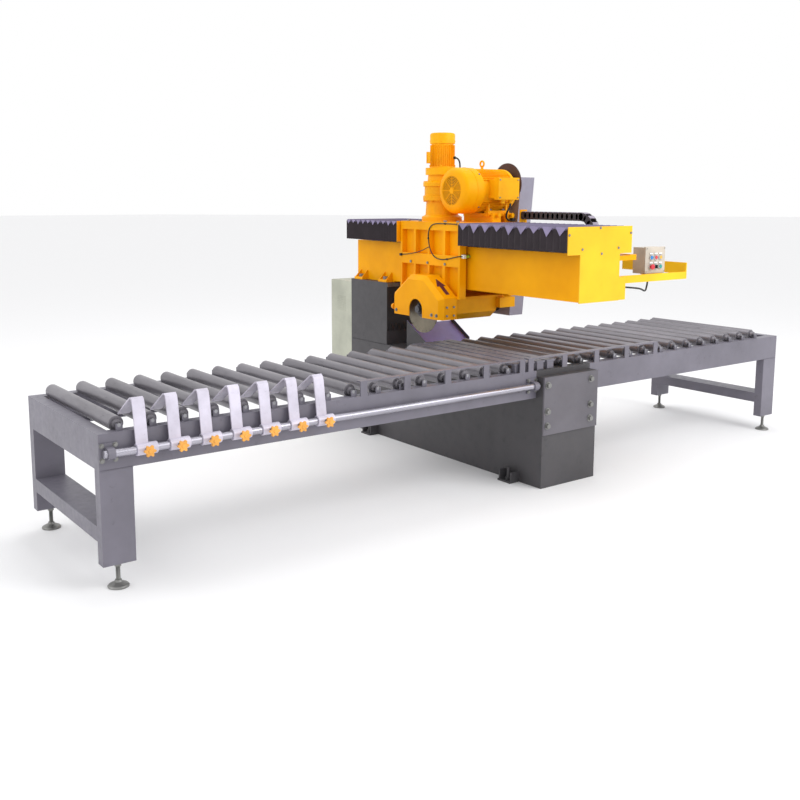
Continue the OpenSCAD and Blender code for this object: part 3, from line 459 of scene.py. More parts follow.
def pleated(name, node, pitch, gusset):
    """Pleats across the beam: each one a folded inverted U whose crest stands out and whose
    valley sinks in, with the corner gusset turned down over the side in a triangle."""
    low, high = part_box(node)
    halves = 2 * max(2, round((high.y - low.y) / pitch))
    places = [low.y + 0.001 + (high.y - low.y - 0.002) * i / halves for i in range(halves + 1)]
    mesh_edit = bmesh.new()
    half = (high.x - low.x) / 2
    mid = (high.x + low.x) / 2
    inset, wall = 0.012, 0.003

    def arch(y, sink):
        w, top = half - sink, high.z - sink
        return [(mid - w, y, low.z), (mid - w, y, low.z + (top - low.z) * 0.62),
                (mid - w, y, top - 0.012), (mid - w + 0.012, y, top), (mid, y, top),
                (mid + w - 0.012, y, top), (mid + w, y, top - 0.012),
                (mid + w, y, low.z + (top - low.z) * 0.62), (mid + w, y, low.z)]

    rows = [[mesh_edit.verts.new(p) for p in arch(y, inset * (i % 2))] for i, y in enumerate(places)]
    inner = [[mesh_edit.verts.new(p) for p in arch(y, wall + inset * (i % 2))]
             for i, y in enumerate(places)]
    width = len(rows[0])
    for i in range(len(rows) - 1):
        for j in range(width - 1):
            f = mesh_edit.faces.new((rows[i][j], rows[i][j + 1], rows[i + 1][j + 1], rows[i + 1][j]))
            f.material_index = 1 if j in (2, 3, 4, 5) else 0
            mesh_edit.faces.new((inner[i][j], inner[i + 1][j], inner[i + 1][j + 1], inner[i][j + 1]))
        for j in (0, width - 1):
            mesh_edit.faces.new((rows[i][j], rows[i + 1][j], inner[i + 1][j], inner[i][j]))
    for i in (0, len(rows) - 1):
        for j in range(width - 1):
            mesh_edit.faces.new((rows[i][j], inner[i][j], inner[i][j + 1], rows[i][j + 1]))
    made = piece(name, mesh_edit, [bellows_cloth, bellows_top], None, "bellows", edge=0, smooth=12)
    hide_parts(node)
    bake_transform(made)

    # Gussets folded down over the side skirts at the crests
    flaps = bmesh.new()
    folds = max(2, round((high.y - low.y) / gusset))
    fold = (high.y - low.y) / folds
    for i in range(folds):
        y = low.y + fold * (i + 0.5)
        deep = fold * (0.50 + 0.09 * math.sin(i * 2.1))
        for side in (-1, 1):
            x = mid + side * (half + 0.0008)
            corners = [(x, y - fold * 0.40, high.z - 0.003), (x, y + fold * 0.40, high.z - 0.003),
                       (x + side * 0.003, y + fold * 0.05, high.z - deep)]
            prism(flaps, corners, [(c[0] - side * 0.002, c[1], c[2]) for c in corners])
    made = piece(name + " gussets", flaps, [gusset_cloth], None, "bellows", edge=0)
    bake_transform(made)


pleated("front bellows", "front_bellows", 0.058, 0.115)
pleated("rear bellows", "rear_bellows", 0.034, 0.068)


# ---- Drag chain ---------------------------------------------------------------------------
# Black plastic links in a long hairpin beside the beam. The lower run lies in the tray, the
# upper run is pulled by the carriage and the bend between them moves half as far.

chain_plastic = finish("black chain plastic", tone(58, 53, 56), 0.45, worn=tone(92, 86, 90),
                       scale=12.0, grain=420.0, bump=0.12, wear=0.5)
chain_bar = finish("grey chain bar plastic", tone(150, 142, 158), 0.40, worn=tone(110, 104, 116),
                   scale=16.0, grain=420.0, bump=0.10)
low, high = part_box("drag_chain")
outer_r = 0.133
thick, plate = 0.060, 0.007
bend = Vector((0, low.y + outer_r, (low.z + high.z) / 2))
pitch = 0.046
run_end = {"upper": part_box("saddle")[0].y + 0.001, "lower": bend.y + 0.745}


def chain_link(bm, centre, along, outward):
    """Two side plates with rounded ends and a crossbar outside and inside of the bend."""
    along, outward = along.normalized(), outward.normalized()

    def put(x, a, o):
        return Vector((x, 0, 0)) + centre + along * a + outward * o
    outline = []
    for end in (1, -1):
        for k in range(7):
            t = math.radians(-90 * end + 30 * k)
            outline.append((end * pitch * 0.30 + math.cos(t) * 0.020, math.sin(t) * thick * 0.42))
    for side in (low.x, high.x - plate):
        prism(bm, [put(side, a, o) for a, o in outline], [put(side + plate, a, o) for a, o in outline])
    for level, mat in ((thick * 0.5 - 0.006, 1), (-thick * 0.5 + 0.001, 0)):
        made = box(bm, (0, 0, 0), (1, 1, 1), mat=mat)
        for v in made:
            x = low.x + 0.004 + v.co.x * (high.x - low.x - 0.008)
            v.co = put(x, (v.co.y - 0.5) * pitch * 0.55, level + v.co.z * 0.005)


parts = {"lower": bmesh.new(), "bend": bmesh.new(), "upper": bmesh.new()}
mid_r = outer_r - thick / 2
for run, sign in (("lower", -1), ("upper", 1)):
    length = run_end[run] - bend.y
    count = int(abs(length) / pitch)
    for i in range(count + 1):
        at = Vector((0, bend.y + (i + 0.1) * length / (count + 0.6), bend.z + sign * mid_r))
        chain_link(parts[run], at, Vector((0, 1, 0)), Vector((0, 0, sign)))
turns = round(math.pi * mid_r / pitch)
for i in range(turns):
    a = math.pi * (i + 0.5) / turns
    outward = Vector((0, -math.sin(a), -math.cos(a)))
    chain_link(parts["bend"], bend + outward * mid_r, Vector((0, -math.cos(a), math.sin(a))), outward)
mid = Vector(((low.x + high.x) / 2, bend.y, bend.z))
run_way = {run: Vector((0, run_end[run] - bend.y, 0)) for run in run_end}
far = Vector((50.0, 0, 0))  # far off to each side of the chain's middle
for run, start, end in (("lower", mid + run_way["lower"], mid - run_way["lower"]),
                        ("bend", mid - far, mid + far),
                        ("upper", mid - run_way["upper"], mid + run_way["upper"])):
    made = piece("drag chain " + run, parts[run], [chain_plastic, chain_bar], None, "chain_plastic",
                 edge=0)
    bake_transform(made)
    if run == "bend":
        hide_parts("drag_chain")


# ---- Carriage -----------------------------------------------------------------------------
# The saddle runs on the guide rails inside the head, sprayed yellow like it. Its end frames
# and chain lug show; the bronze nut is bolted on it over the lift screw.

bronze = finish("bronze nut", tone(186, 140, 78), 0.30, metallic=0.9, worn=tone(140, 100, 56),
                scale=10.0, grain=400.0, bump=0.08)
dress(yellow, "saddle", edge=0.0015)
dress(bronze, "lift_nut", edge=0.001)


# ---- Head frame ---------------------------------------------------------------------------
# Two ribbed side plates, joined over and under the beam by thick plates. The ribs are welded
# in, and the sensor cable is clipped across them.

dress(yellow, "head_frame", edge=0.003)
bm = bmesh.new()
low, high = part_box("head_frame")
for y in (low.y + 0.06, low.y + 0.20, high.y - 0.20, high.y - 0.06):
    for x in (low.x + 0.03, high.x - 0.03):
        rod(bm, (x, y, high.z), (x, y, high.z + 0.012), 0.013, 24)
        rod(bm, (x, y, high.z + 0.012), (x, y, high.z + 0.0125), 0.007, 6)
for y in (low.y + 0.16, low.y + 0.36, low.y + 0.56):
    for x, out in ((low.x, -1), (high.x, 1)):
        rod(bm, (x, y, low.z + 0.262), (x + out * 0.008, y, low.z + 0.262), 0.010, 6)
piece("head frame bolts", bm, [zinc], "saw_head", "zinc", edge=0.0006)


# ---- Lift drive ---------------------------------------------------------------------------
# A flanged cast gearbox stands on the head's top plate with its own motor above. Everything
# was sprayed yellow in place, bolts included.

cast_yellow = finish("yellow over casting", tone(254, 176, 8), 0.42, worn=tone(230, 142, 4), scale=5.0,
                     grain=150.0, bump=0.28, wear=0.4, specular=0.16)
dress(cast_yellow, "lift_gearbox", edge=0.0025)


def spoke(bm, centre, axis, angle, low, high):
    """A box from low to high, turned about the axis by an angle and then moved to the centre."""
    made = box(bm, low, high)
    bmesh.ops.rotate(bm, verts=made, cent=(0, 0, 0), matrix=Matrix.Rotation(angle, 3, axis))
    bmesh.ops.translate(bm, verts=made, vec=centre)


lift_low, lift_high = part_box("lift_motor")
lift = Vector(((lift_low.x + lift_high.x) / 2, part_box("lift_screw")[0].y + 0.020, lift_low.z))
lift_r = (lift_high.x - lift_low.x) / 2
bm = bmesh.new()
flange_t, cap_low, cap_high = 0.010, 0.178, 0.258
rod(bm, lift, lift + Vector((0, 0, cap_low)), lift_r - 0.010, 48)
for i in range(36):
    spoke(bm, lift, "Z", math.radians(10 * i), (lift_r - 0.014, -0.0014, 0.012),
          (lift_r - 0.001, 0.0014, 0.168))
turned(bm, lift, (0, 0, 1), [(0.0, 0.0), (lift_r + 0.002, 0.0), (lift_r + 0.002, flange_t),
                             (0.0, flange_t)])
turned(bm, lift, (0, 0, 1), [(0.0, cap_low), (lift_r, cap_low), (lift_r, cap_high - 0.014),
                             (lift_r - 0.005, cap_high - 0.004), (lift_r - 0.018, cap_high),
                             (0.0, cap_high)])
for i in range(4):
    a = math.radians(45 + 90 * i)
    out = Vector((math.cos(a), math.sin(a), 0))
    at = lift + out * (lift_r - 0.002)
    rod(bm, at + Vector((0, 0, flange_t)), at + Vector((0, 0, 0.022)), 0.007, 6)
    side_screw = at + Vector((0, 0, 0.196))
    rod(bm, side_screw, side_screw + out * 0.004, 0.006, 12)
box_back, lid_back, lid_front = (lift.y + lift_r + y for y in (-0.012, 0.034, 0.040))
box(bm, (lift.x - 0.045, box_back, lift.z + 0.040), (lift.x + 0.045, lid_back, lift.z + 0.120))
box(bm, (lift.x - 0.048, lid_back, lift.z + 0.037), (lift.x + 0.048, lid_front, lift.z + 0.123))
made = piece("lift motor", bm, [cast_yellow], "saw_head", "casting", edge=0.001)
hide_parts("lift_motor")


# ---- Saw motor ----------------------------------------------------------------------------
# A foot-mounted frame with cooling fins, a pressed fan cowl with a ringed grille and a big
# terminal box facing the operator. Its lead, made with the other cables, leaves from below.

motor_low, motor_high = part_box("saw_motor")
cowl_low, cowl_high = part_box("fan_cowl")
motor = Vector((motor_low.x, (cowl_low.y + cowl_high.y) / 2, (cowl_low.z + cowl_high.z) / 2))
motor_r = (cowl_high.z - cowl_low.z) / 2
motor_long = motor_high.x - motor_low.x
shaft_r, frame_end = 0.0212, 0.288
bm = bmesh.new()
turned(bm, motor, (1, 0, 0),
       [(shaft_r, 0.0), (motor_r - 0.008, 0.0), (motor_r - 0.008, 0.012), (motor_r - 0.018, 0.014),
        (motor_r - 0.018, frame_end), (motor_r - 0.006, 0.290), (motor_r - 0.006, 0.312),
        (motor_r - 0.030, 0.344), (motor_r - 0.050, 0.346), (motor_r - 0.055, motor_long),
        (shaft_r, motor_long)], 72)
for a in range(0, 360, 6):
    if not 62 < a < 118:  # no fins behind the terminal box
        spoke(bm, motor, "X", math.radians(a), (0.012, -0.0016, motor_r - 0.020),
              (frame_end, 0.0016, motor_r - 0.006))
foot_z = motor.z - 0.160
foot_top = foot_z + 0.018
for y in (motor.y - 0.125, motor.y + 0.085):
    box(bm, (motor.x + 0.070, y, foot_z), (motor.x + 0.280, y + 0.040, foot_top))
    for x, bolt_x in ((motor.x + 0.078, motor.x + 0.108), (motor.x + 0.250, motor.x + 0.236)):
        box(bm, (x, y + 0.006, foot_top), (x + 0.016, y + 0.034, foot_z + 0.080))
        rod(bm, (bolt_x, y + 0.020, foot_top), (bolt_x, y + 0.020, foot_z + 0.030), 0.012, 6, mat=1)
t_low = Vector((motor.x + 0.057, motor.y - 0.255, motor.z - 0.062))
t_high = Vector((motor.x + 0.259, motor.y - 0.110, motor.z + 0.092))
box(bm, (t_low.x + 0.010, t_low.y + 0.058, t_low.z + 0.008),
    (t_high.x - 0.010, t_high.y, t_high.z - 0.008))
box(bm, (t_low.x + 0.002, t_low.y + 0.050, t_low.z), (t_high.x - 0.002, t_low.y + 0.060, t_high.z))
box(bm, (t_low.x, t_low.y + 0.006, t_low.z - 0.002), (t_high.x, t_low.y + 0.050, t_high.z + 0.002))
for x in (t_low.x + 0.014, t_high.x - 0.014):
    for z in (t_low.z + 0.014, t_high.z - 0.014):
        rod(bm, (x, t_low.y + 0.006, z), (x, t_low.y, z), 0.006, 6, mat=1)
for x in (t_low.x + 0.060, t_low.x + 0.140):
    rod(bm, (x, t_low.y + 0.030, t_low.z), (x, t_low.y + 0.030, t_low.z - 0.014), 0.020, 6)
    rod(bm, (x, t_low.y + 0.030, t_low.z - 0.014), (x, t_low.y + 0.030, t_low.z - 0.028), 0.016, 24)
eye = Vector((motor.x + 0.117, motor.y, motor.z + motor_r + 0.030))
eye_r, bar_r = 0.020, 0.007
turned(bm, eye, (1, 0, 0), [(eye_r + bar_r * math.cos(t * math.pi / 6), bar_r * math.sin(t * math.pi / 6))
                            for t in range(12)], 32)
rod(bm, eye - Vector((0, 0, 0.055)), eye - Vector((0, 0, 0.024)), 0.014, 24, 0.009)
made = piece("saw motor", bm, [cast_yellow, zinc], "saw_head", "casting", edge=0.0015)
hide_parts("saw_motor")

grille_dark = finish("brown grille shadow", tone(150, 88, 20), 0.5, worn=tone(110, 62, 14),
                     scale=14.0, grain=300.0, bump=0.1)
bm = bmesh.new()
cowl = Vector((cowl_low.x, motor.y, motor.z))
cowl_long = cowl_high.x - cowl_low.x
turned(bm, cowl, (1, 0, 0), [(motor_r - 0.062, 0.0), (motor_r - 0.052, 0.0), (motor_r - 0.026, 0.008),
                             (motor_r - 0.008, 0.020), (motor_r, 0.036), (motor_r, cowl_long),
                             (motor_r - 0.004, cowl_long), (motor_r - 0.004, 0.038), (motor_r - 0.030, 0.012),
                             (motor_r - 0.062, 0.004)], 96)
for r in [0.024 + 0.0105 * i for i in range(8)]:
    turned(bm, cowl + Vector((0.001, 0, 0)), (1, 0, 0),
           [(r - 0.0022, 0.0), (r + 0.0022, 0.0), (r + 0.0022, 0.003), (r - 0.0022, 0.003)], 72)
rod(bm, cowl, cowl + Vector((0.005, 0, 0)), 0.020, 40)
for i in range(8):
    spoke(bm, cowl, "X", math.radians(45 * i), (0.002, -0.0022, 0.018),
          (0.0045, 0.0022, motor_r - 0.058))
turned(bm, cowl + Vector((cowl_long * 0.62, 0, 0)), (1, 0, 0),
       [(motor_r - 0.002, 0.0), (motor_r + 0.0022, 0.001), (motor_r + 0.0022, 0.005),
        (motor_r - 0.002, 0.006)], 96)
for i in range(4):
    a = math.radians(45 + 90 * i)
    out = Vector((0, math.cos(a), math.sin(a)))
    at = cowl + Vector((cowl_long - 0.014, 0, 0)) + out * (motor_r - 0.001)
    rod(bm, at, at + out * 0.005, 0.007, 20, mat=2)
rod(bm, cowl + Vector((0.020, 0, 0)), cowl + Vector((0.022, 0, 0)), motor_r - 0.060, 64, mat=1)
made = piece("fan cowl", bm, [yellow, grille_dark, zinc], "saw_head", "yellow_paint", edge=0)
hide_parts("fan_cowl")
dress(yellow, "motor_slide", edge=0.002)

iron = finish("dark machined iron", tone(92, 92, 96), 0.38, metallic=0.8, worn=tone(66, 62, 60),
              scale=10.0, grain=360.0, bump=0.12)
dress(iron, "motor_pulley", "spindle", edge=0.0008)
belt_rubber = finish("belt rubber", tone(40, 40, 42), 0.65, worn=tone(70, 66, 64), scale=20.0,
                     grain=500.0, bump=0.2)
dress(belt_rubber, "drive_belts", edge=0.0006)


# ---- Belt guard ---------------------------------------------------------------------------
# Thin folded sheet in a pale violet-grey over the four belts, on a back plate whose
# round top stands up behind the motor. The back plate's dark brown is painted shade
# with a painted yellow reflection off the motor.

guard_grey = finish("pale violet-grey guard", tone(152, 149, 166), 0.40, worn=tone(138, 134, 152),
                    scale=2.5, grain=420.0, bump=0.08)
# Dark brown on the back disc: painted shade with a painted yellow reflection off the motor
back_plate_painted_shade = finish("back plate painted shade", tone(70, 48, 46), 0.5, worn=tone(50, 36, 36), scale=4.0,
                   grain=360.0, bump=0.12)
dress(guard_grey, "belt_guard", edge=0.0012)
bm = bmesh.new()
low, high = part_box("belt_guard")
disc_z = motor.z + 0.052
disc_r, disc_bore_r, disc_t = 0.1545, 0.062, 0.0012
turned(bm, (low.x - 0.0015, motor.y, disc_z), (1, 0, 0),
       [(disc_bore_r, 0.0), (disc_r - 0.0009, 0.0), (disc_r, 0.001), (disc_r, 0.0064),
        (disc_r - 0.0009, 0.007), (disc_r - 0.002, disc_t), (disc_bore_r, disc_t)], 96)
piece("guard back disc", bm, [back_plate_painted_shade], "saw_head", "guard_paint", edge=0)
bm = bmesh.new()
spin_low, spin_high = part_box("spindle")
spin = (spin_low + spin_high) / 2
for z in (low.z + 0.10, low.z + 0.50, low.z + 0.86):
    middle_y = spin.y + (motor.y - spin.y) * (z - low.z) / (high.z - low.z)
    for y in (middle_y - 0.120, middle_y + 0.120):
        rod(bm, (high.x, y, z), (high.x + 0.004, y, z), 0.008, 6)
piece("belt guard screws", bm, [zinc], "saw_head", "zinc", edge=0.0005)


# ---- Spindle and blade --------------------------------------------------------------------
# The cast housing hangs under the head and carries the blade inboard and the pulley
# outboard. The blade is a steel core with sintered segments, grey with dried slurry.

dress(cast_yellow, "spindle_housing", edge=0.003)
blade_steel = finish("slurry-dulled blade steel", tone(128, 120, 104), 0.42, metallic=0.6,
                     worn=tone(162, 154, 138), scale=14.0, grain=300.0, bump=0.15, wear=0.7)
dress(blade_steel, "saw_blade", edge=0)

bm = bmesh.new()
house_low, house_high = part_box("spindle_housing")
rod(bm, (house_high.x - 0.110, spin.y, spin.z), (house_high.x + 0.010, spin.y, spin.z), 0.050, 48)
for i in range(6):
    a = math.radians(30 + 60 * i)
    at = Vector((house_high.x - 0.012, spin.y + 0.041 * math.cos(a), spin.z + 0.041 * math.sin(a)))
    rod(bm, at, at + Vector((0.024, 0, 0)), 0.0055, 12, mat=1)
for y in (house_low.y + 0.07, house_high.y - 0.05):
    for x in (house_low.x + 0.08, house_low.x + 0.20, house_low.x + 0.32, house_low.x + 0.44):
        rod(bm, (x, y, house_high.z - 0.028), (x, y, house_high.z - 0.001), 0.011, 6, mat=1)
bearing_black = finish("black bearing housing", tone(44, 42, 44), 0.42, metallic=0.4,
                       worn=tone(72, 68, 66), scale=10.0, grain=320.0, bump=0.15)
piece("outboard bearing cap", bm, [bearing_black, zinc], "saw_head", "casting", edge=0.001)


# ---- Blade guard --------------------------------------------------------------------------
# A welded yellow hood with a stepped face and a thick rim round the flange slot. A dark
# arrow is stuck to its sloping front to show which way the blade turns.

guard_low, guard_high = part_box("blade_guard")
wide, wall, set_in = 0.291, 0.004, 0.034
top = guard_high.z - spin.z
skirt = spin.z - 0.053


def hood_line(inset):
    r, t = wide - inset, top - inset
    return [(spin.y - r, skirt), (spin.y - r, spin.z + 0.100 - inset / 2), (spin.y - 0.090, spin.z + t),
            (spin.y + 0.090, spin.z + t), (spin.y + r, spin.z + 0.100 - inset / 2), (spin.y + r, skirt)]


def notch(r):
    """The outline of the round-topped slot, from its front foot over to its back foot."""
    arc = [(spin.y - r * math.cos(math.pi * k / 20), spin.z + r * math.sin(math.pi * k / 20))
           for k in range(21)]
    return [(spin.y - r, skirt)] + arc + [(spin.y + r, skirt)]


def shell(bm, x0, first, x1, second):
    """The sheet between an open outline at x0 and a like one at x1."""
    a = [bm.verts.new((x0, y, z)) for y, z in first]
    b = [bm.verts.new((x1, y, z)) for y, z in second]
    for k in range(len(a) - 1):
        bm.faces.new((a[k], b[k], b[k + 1], a[k + 1]))


bm = bmesh.new()
face_x, back_x = guard_low.x + 0.002, guard_high.x
step_x = face_x + 0.030
front_r, back_r, rim_r, rim_t = 0.076, 0.064, 0.094, 0.002
for inset in (0.0, wall):
    shell(bm, back_x, hood_line(inset), step_x, hood_line(inset))
    shell(bm, step_x, hood_line(inset), face_x + inset, hood_line(set_in + inset))
for x, inset, r in ((face_x, set_in, front_r), (face_x + wall, set_in + wall, front_r),
                    (back_x, 0.0, back_r), (back_x - wall, wall, back_r)):
    bm.faces.new([bm.verts.new((x, y, z)) for y, z in hood_line(inset) + notch(r)[::-1]])
for x0, r0, x1, r1 in ((face_x, front_r, face_x + wall, front_r), (back_x - wall, back_r, back_x, back_r),
                       (face_x, rim_r, face_x - rim_t, rim_r - 0.003),
                       (face_x - rim_t, rim_r - 0.003, face_x - rim_t, front_r + 0.003),
                       (face_x - rim_t, front_r + 0.003, face_x + 0.001, front_r)):
    shell(bm, x0, notch(r0), x1, notch(r1))
for a, b in ((hood_line(0.0)[k][0], hood_line(wall)[k][0]) for k in (0, 5)):
    bm.faces.new([bm.verts.new((x, y, skirt)) for x, y in ((back_x, a), (step_x, a), (step_x, b),
                                                           (back_x, b))])
bmesh.ops.remove_doubles(bm, verts=bm.verts[:], dist=1e-5)
for y, z in ((spin.y - wide + 0.050, skirt + 0.030), (spin.y - wide + 0.105, skirt + 0.030),
             (spin.y + wide - 0.060, skirt + 0.030)):
    rod(bm, (face_x + 0.002, y, z), (face_x - 0.010, y, z), 0.0085, 6, mat=1)
    rod(bm, (face_x + 0.002, y, z), (face_x - 0.002, y, z), 0.013, 24, mat=1)
for x in (step_x + 0.02, back_x - 0.03):
    for z in (skirt + 0.03, skirt + 0.09):
        rod(bm, (x, spin.y - wide + 0.001, z), (x, spin.y - wide - 0.010, z), 0.0085, 6, mat=1)
knob = Vector((step_x + 0.009, spin.y + wide, spin.z - 0.006))
for start, end, r, sides, end_r, mat in ((-0.002, 0.014, 0.008, 24, 0.008, 1),
                                         (0.012, 0.034, 0.024, 32, 0.020, 0)):
    rod(bm, knob + Vector((0, start, 0)), knob + Vector((0, end, 0)), r, sides, end_r, mat)
made = piece("blade guard", bm, [yellow, zinc], "saw_head", "yellow_paint", edge=0)
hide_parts("blade_guard")

arrow_dark = finish("dark arrow vinyl", tone(84, 30, 58), 0.35, worn=tone(120, 60, 80), scale=30.0,
                    grain=500.0, bump=0.05)
bm = bmesh.new()
foot = Vector((0, spin.y - wide, spin.z + 0.100))
crest = Vector((0, spin.y - 0.090, spin.z + top))
along = (crest - foot).normalized()
out = Vector((0, -along.z, along.y)).normalized()
middle = (step_x + back_x) / 2
barb = min(0.040, (back_x - step_x) / 2 - 0.006)
stem = barb * 0.42
reach = (crest - foot).length
shape = [(reach * 0.16, -stem), (reach * 0.52, -stem), (reach * 0.52, -barb), (reach * 0.84, 0.0),
         (reach * 0.52, barb), (reach * 0.52, stem), (reach * 0.16, stem)]
flat = [Vector((middle + w, 0, 0)) + foot + along * a for a, w in shape]
prism(bm, [p + out * 0.0012 for p in flat], [p - out * 0.0005 for p in flat])
piece("rotation arrow", bm, [arrow_dark], "saw_head", "cable", edge=0)


# ---- Sensor and cables --------------------------------------------------------------------
# A limit switch with a green body looks at the saddle from the head's front edge. Its thin
# black cable is clipped in a loop over the ribs, and each motor has its own heavier lead.

cable_black = finish("black cable", tone(26, 26, 28), 0.45, worn=tone(50, 48, 48), scale=30.0,
                     grain=500.0, bump=0.1)
sensor_white = finish("white sensor plastic", tone(226, 228, 218), 0.35, worn=tone(190, 190, 180),
                      scale=20.0, grain=500.0, bump=0.06)
sensor_green = finish("green sensor plastic", tone(150, 196, 40), 0.35, worn=tone(120, 160, 34),
                      scale=20.0, grain=500.0, bump=0.06)


def hose(name, points, radius, body, steps=6, sides=12):
    """A round black cable through the points, smoothed, with closed ends."""
    path = [Vector(p) for p in points]
    route = []
    for i in range(len(path) - 1):
        p0, p1, p2, p3 = path[max(i - 1, 0)], path[i], path[i + 1], path[min(i + 2, len(path) - 1)]
        for k in range(steps):
            t = k / steps
            route.append(0.5 * ((2 * p1) + (p2 - p0) * t + (2 * p0 - 5 * p1 + 4 * p2 - p3) * t * t
                                + (3 * p1 - p0 - 3 * p2 + p3) * t * t * t))
    route.append(path[-1])
    tube = bmesh.new()
    rings = []
    across = (route[1] - route[0]).orthogonal().normalized()
    for i, at in enumerate(route):
        ahead = (route[min(i + 1, len(route) - 1)] - route[max(i - 1, 0)]).normalized()
        across = (across - ahead * across.dot(ahead)).normalized()
        up = ahead.cross(across)
        turns = [2 * math.pi * k / sides for k in range(sides)]
        rings.append([tube.verts.new(at + (across * math.cos(t) + up * math.sin(t)) * radius)
                      for t in turns])
    for a, b in zip(rings, rings[1:]):
        for k in range(sides):
            tube.faces.new((a[k], a[(k + 1) % sides], b[(k + 1) % sides], b[k]))
    tube.faces.new(rings[0][::-1])
    tube.faces.new(rings[-1])
    return piece(name, tube, [cable_black], body, "cable", edge=0, smooth=60)


head_low, head_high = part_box("head_frame")
top_z = head_high.z - 0.023
x = head_low.x - 0.005
sensor_low, sensor_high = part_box("sensor")
sensor_back = Vector((sensor_low.x + 0.003, sensor_low.y + 0.012, (sensor_low.z + sensor_high.z) / 2))
main_route = [(x, spin.y + a / 1000, top_z + b / 1000) for a, b in (
    (-297, 12), (-154, 13), (-50, 10), (0, -6), (27, -40), (33, -96), (14, -166), (-32, -222),
    (-100, -242), (-182, -238), (-250, -224))]
main_route += [(x - 0.001, sensor_back.y + 0.034, sensor_back.z - 0.002),
               (x + 0.002, sensor_back.y + 0.010, sensor_back.z), tuple(sensor_back)]
made = hose("sensor cable", main_route, 0.0036, "saw_head")
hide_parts("sensor_cable")
hose("sensor cable branch", [(x, spin.y + a / 1000, top_z + b / 1000) for a, b in (
    (16, -156), (50, -168), (132, -196), (253, -219), (364, -230))], 0.0030, "saw_head")

# Small junction blocks on the side plate take the two far ends of the thin cables
bm = bmesh.new()
for a, b in ((-305, 12), (362, -230)):
    y, z = spin.y + a / 1000, top_z + b / 1000
    box(bm, (head_low.x - 0.013, y - 0.011, z - 0.009), (head_low.x + 0.001, y + 0.011, z + 0.009))
piece("cable junction blocks", bm, [cable_black], "saw_head", "cable", edge=0.001)

bm = bmesh.new()
low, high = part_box("sensor")
cy, cz = low.y + 0.012, (low.z + high.z) / 2
box(bm, low, (low.x + 0.024, high.y, high.z))
rod(bm, (low.x + 0.024, cy, cz), (high.x, cy, cz), 0.011, 32, mat=1)
rod(bm, (high.x - 0.012, cy, cz), (high.x - 0.002, cy, cz), 0.0125, 6, mat=2)
rod(bm, (low.x + 0.026, cy, cz), (low.x + 0.030, cy, cz), 0.0125, 6, mat=2)
made = piece("limit sensor", bm, [sensor_white, sensor_green, zinc], "saw_head", "sensor_body", edge=0.0008)
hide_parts("sensor")

bm = bmesh.new()
for a, b in ((-154, 13), (33, -96), (-182, -238)):
    y, z = spin.y + a / 1000, top_z + b / 1000
    box(bm, (head_low.x - 0.010, y - 0.005, z - 0.006), (head_low.x + 0.001, y + 0.005, z + 0.006))
piece("cable clips", bm, [cable_black], "saw_head", "cable", edge=0.001)

# The lead stays on the top plate, in front of the slide bars and under their adjusting screws
lead_x = t_low.x + 0.140
lead_y = t_low.y + 0.058
plate_z = head_high.z
hose("saw motor lead", [(lead_x, t_low.y + 0.030, t_low.z - 0.026),
                        (lead_x - 0.004, t_low.y + 0.031, t_low.z - 0.052),
                        (lead_x - 0.018, t_low.y + 0.044, plate_z + 0.072),
                        (lead_x - 0.014, lead_y - 0.002, plate_z + 0.034),
                        (lead_x + 0.012, lead_y, plate_z + 0.013),
                        (lead_x + 0.056, lead_y, plate_z + 0.0085),
                        (head_high.x - 0.024, lead_y, plate_z + 0.0085)],
     0.007, "saw_head")
bm = bmesh.new()
box(bm, (head_high.x - 0.032, lead_y - 0.014, plate_z - 0.001),
    (head_high.x - 0.002, lead_y + 0.013, plate_z + 0.028))
# The lift motor's lead bends out of its gland and drops into the gearbox's wide flange
lead_way = Vector((0.533, -0.846, 0.0))
for r0, z0, r1, z1 in ((lift_r - 0.008, 0.075, lift_r + 0.010, 0.075), (0.133, -0.108, 0.133, -0.090)):
    rod(bm, lift + lead_way * r0 + Vector((0, 0, z0)), lift + lead_way * r1 + Vector((0, 0, z1)), 0.011, 6)
piece("lead glands", bm, [cable_black], "saw_head", "cable", edge=0.0006)
hose("lift motor lead", [lift + lead_way * r + Vector((0, 0, z)) for r, z in (
    (0.092, 0.075), (0.110, 0.073), (0.127, 0.060), (0.137, 0.034), (0.139, -0.010),
    (0.138, -0.055), (0.134, -0.088), (0.133, -0.106))], 0.006, "saw_head")


# ---- Cabinet ------------------------------------------------------------------------------
# A pale green-grey sheet cabinet bolted to the back of the column, with a hinged door, a
# quarter-turn lock and a gland plate under it.

cabinet_paint = finish("textured pale cabinet paint", tone(182, 184, 168), 0.50, worn=tone(158, 160, 146),
                       scale=3.0, grain=900.0, bump=0.3)
dress(cabinet_paint, "cabinet", "cabinet_door", edge=0.002)
bm = bmesh.new()
low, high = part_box("cabinet")
for i in range(5):
    x = low.x + 0.08 + i * 0.07
    rod(bm, (x, low.y + 0.10, low.z + 0.001), (x, low.y + 0.10, low.z - 0.016), 0.018, 6)
piece("cabinet glands", bm, [bearing_black], "machine", "cable", edge=0.001)
bm = bmesh.new()
for i in range(9):
    z = high.z - 0.14 - i * 0.014
    box(bm, (low.x - 0.0015, low.y + 0.09, z), (low.x + 0.001, high.y - 0.09, z + 0.006))
piece("cabinet louvres", bm, [cabinet_paint], "machine", "cabinet_paint", edge=0.0006)


# ---- Control box --------------------------------------------------------------------------
# A grey sheet box on the arm's shelf with two rows of three controls, each in a bright
# bezel. Generic blank labels sit over them.

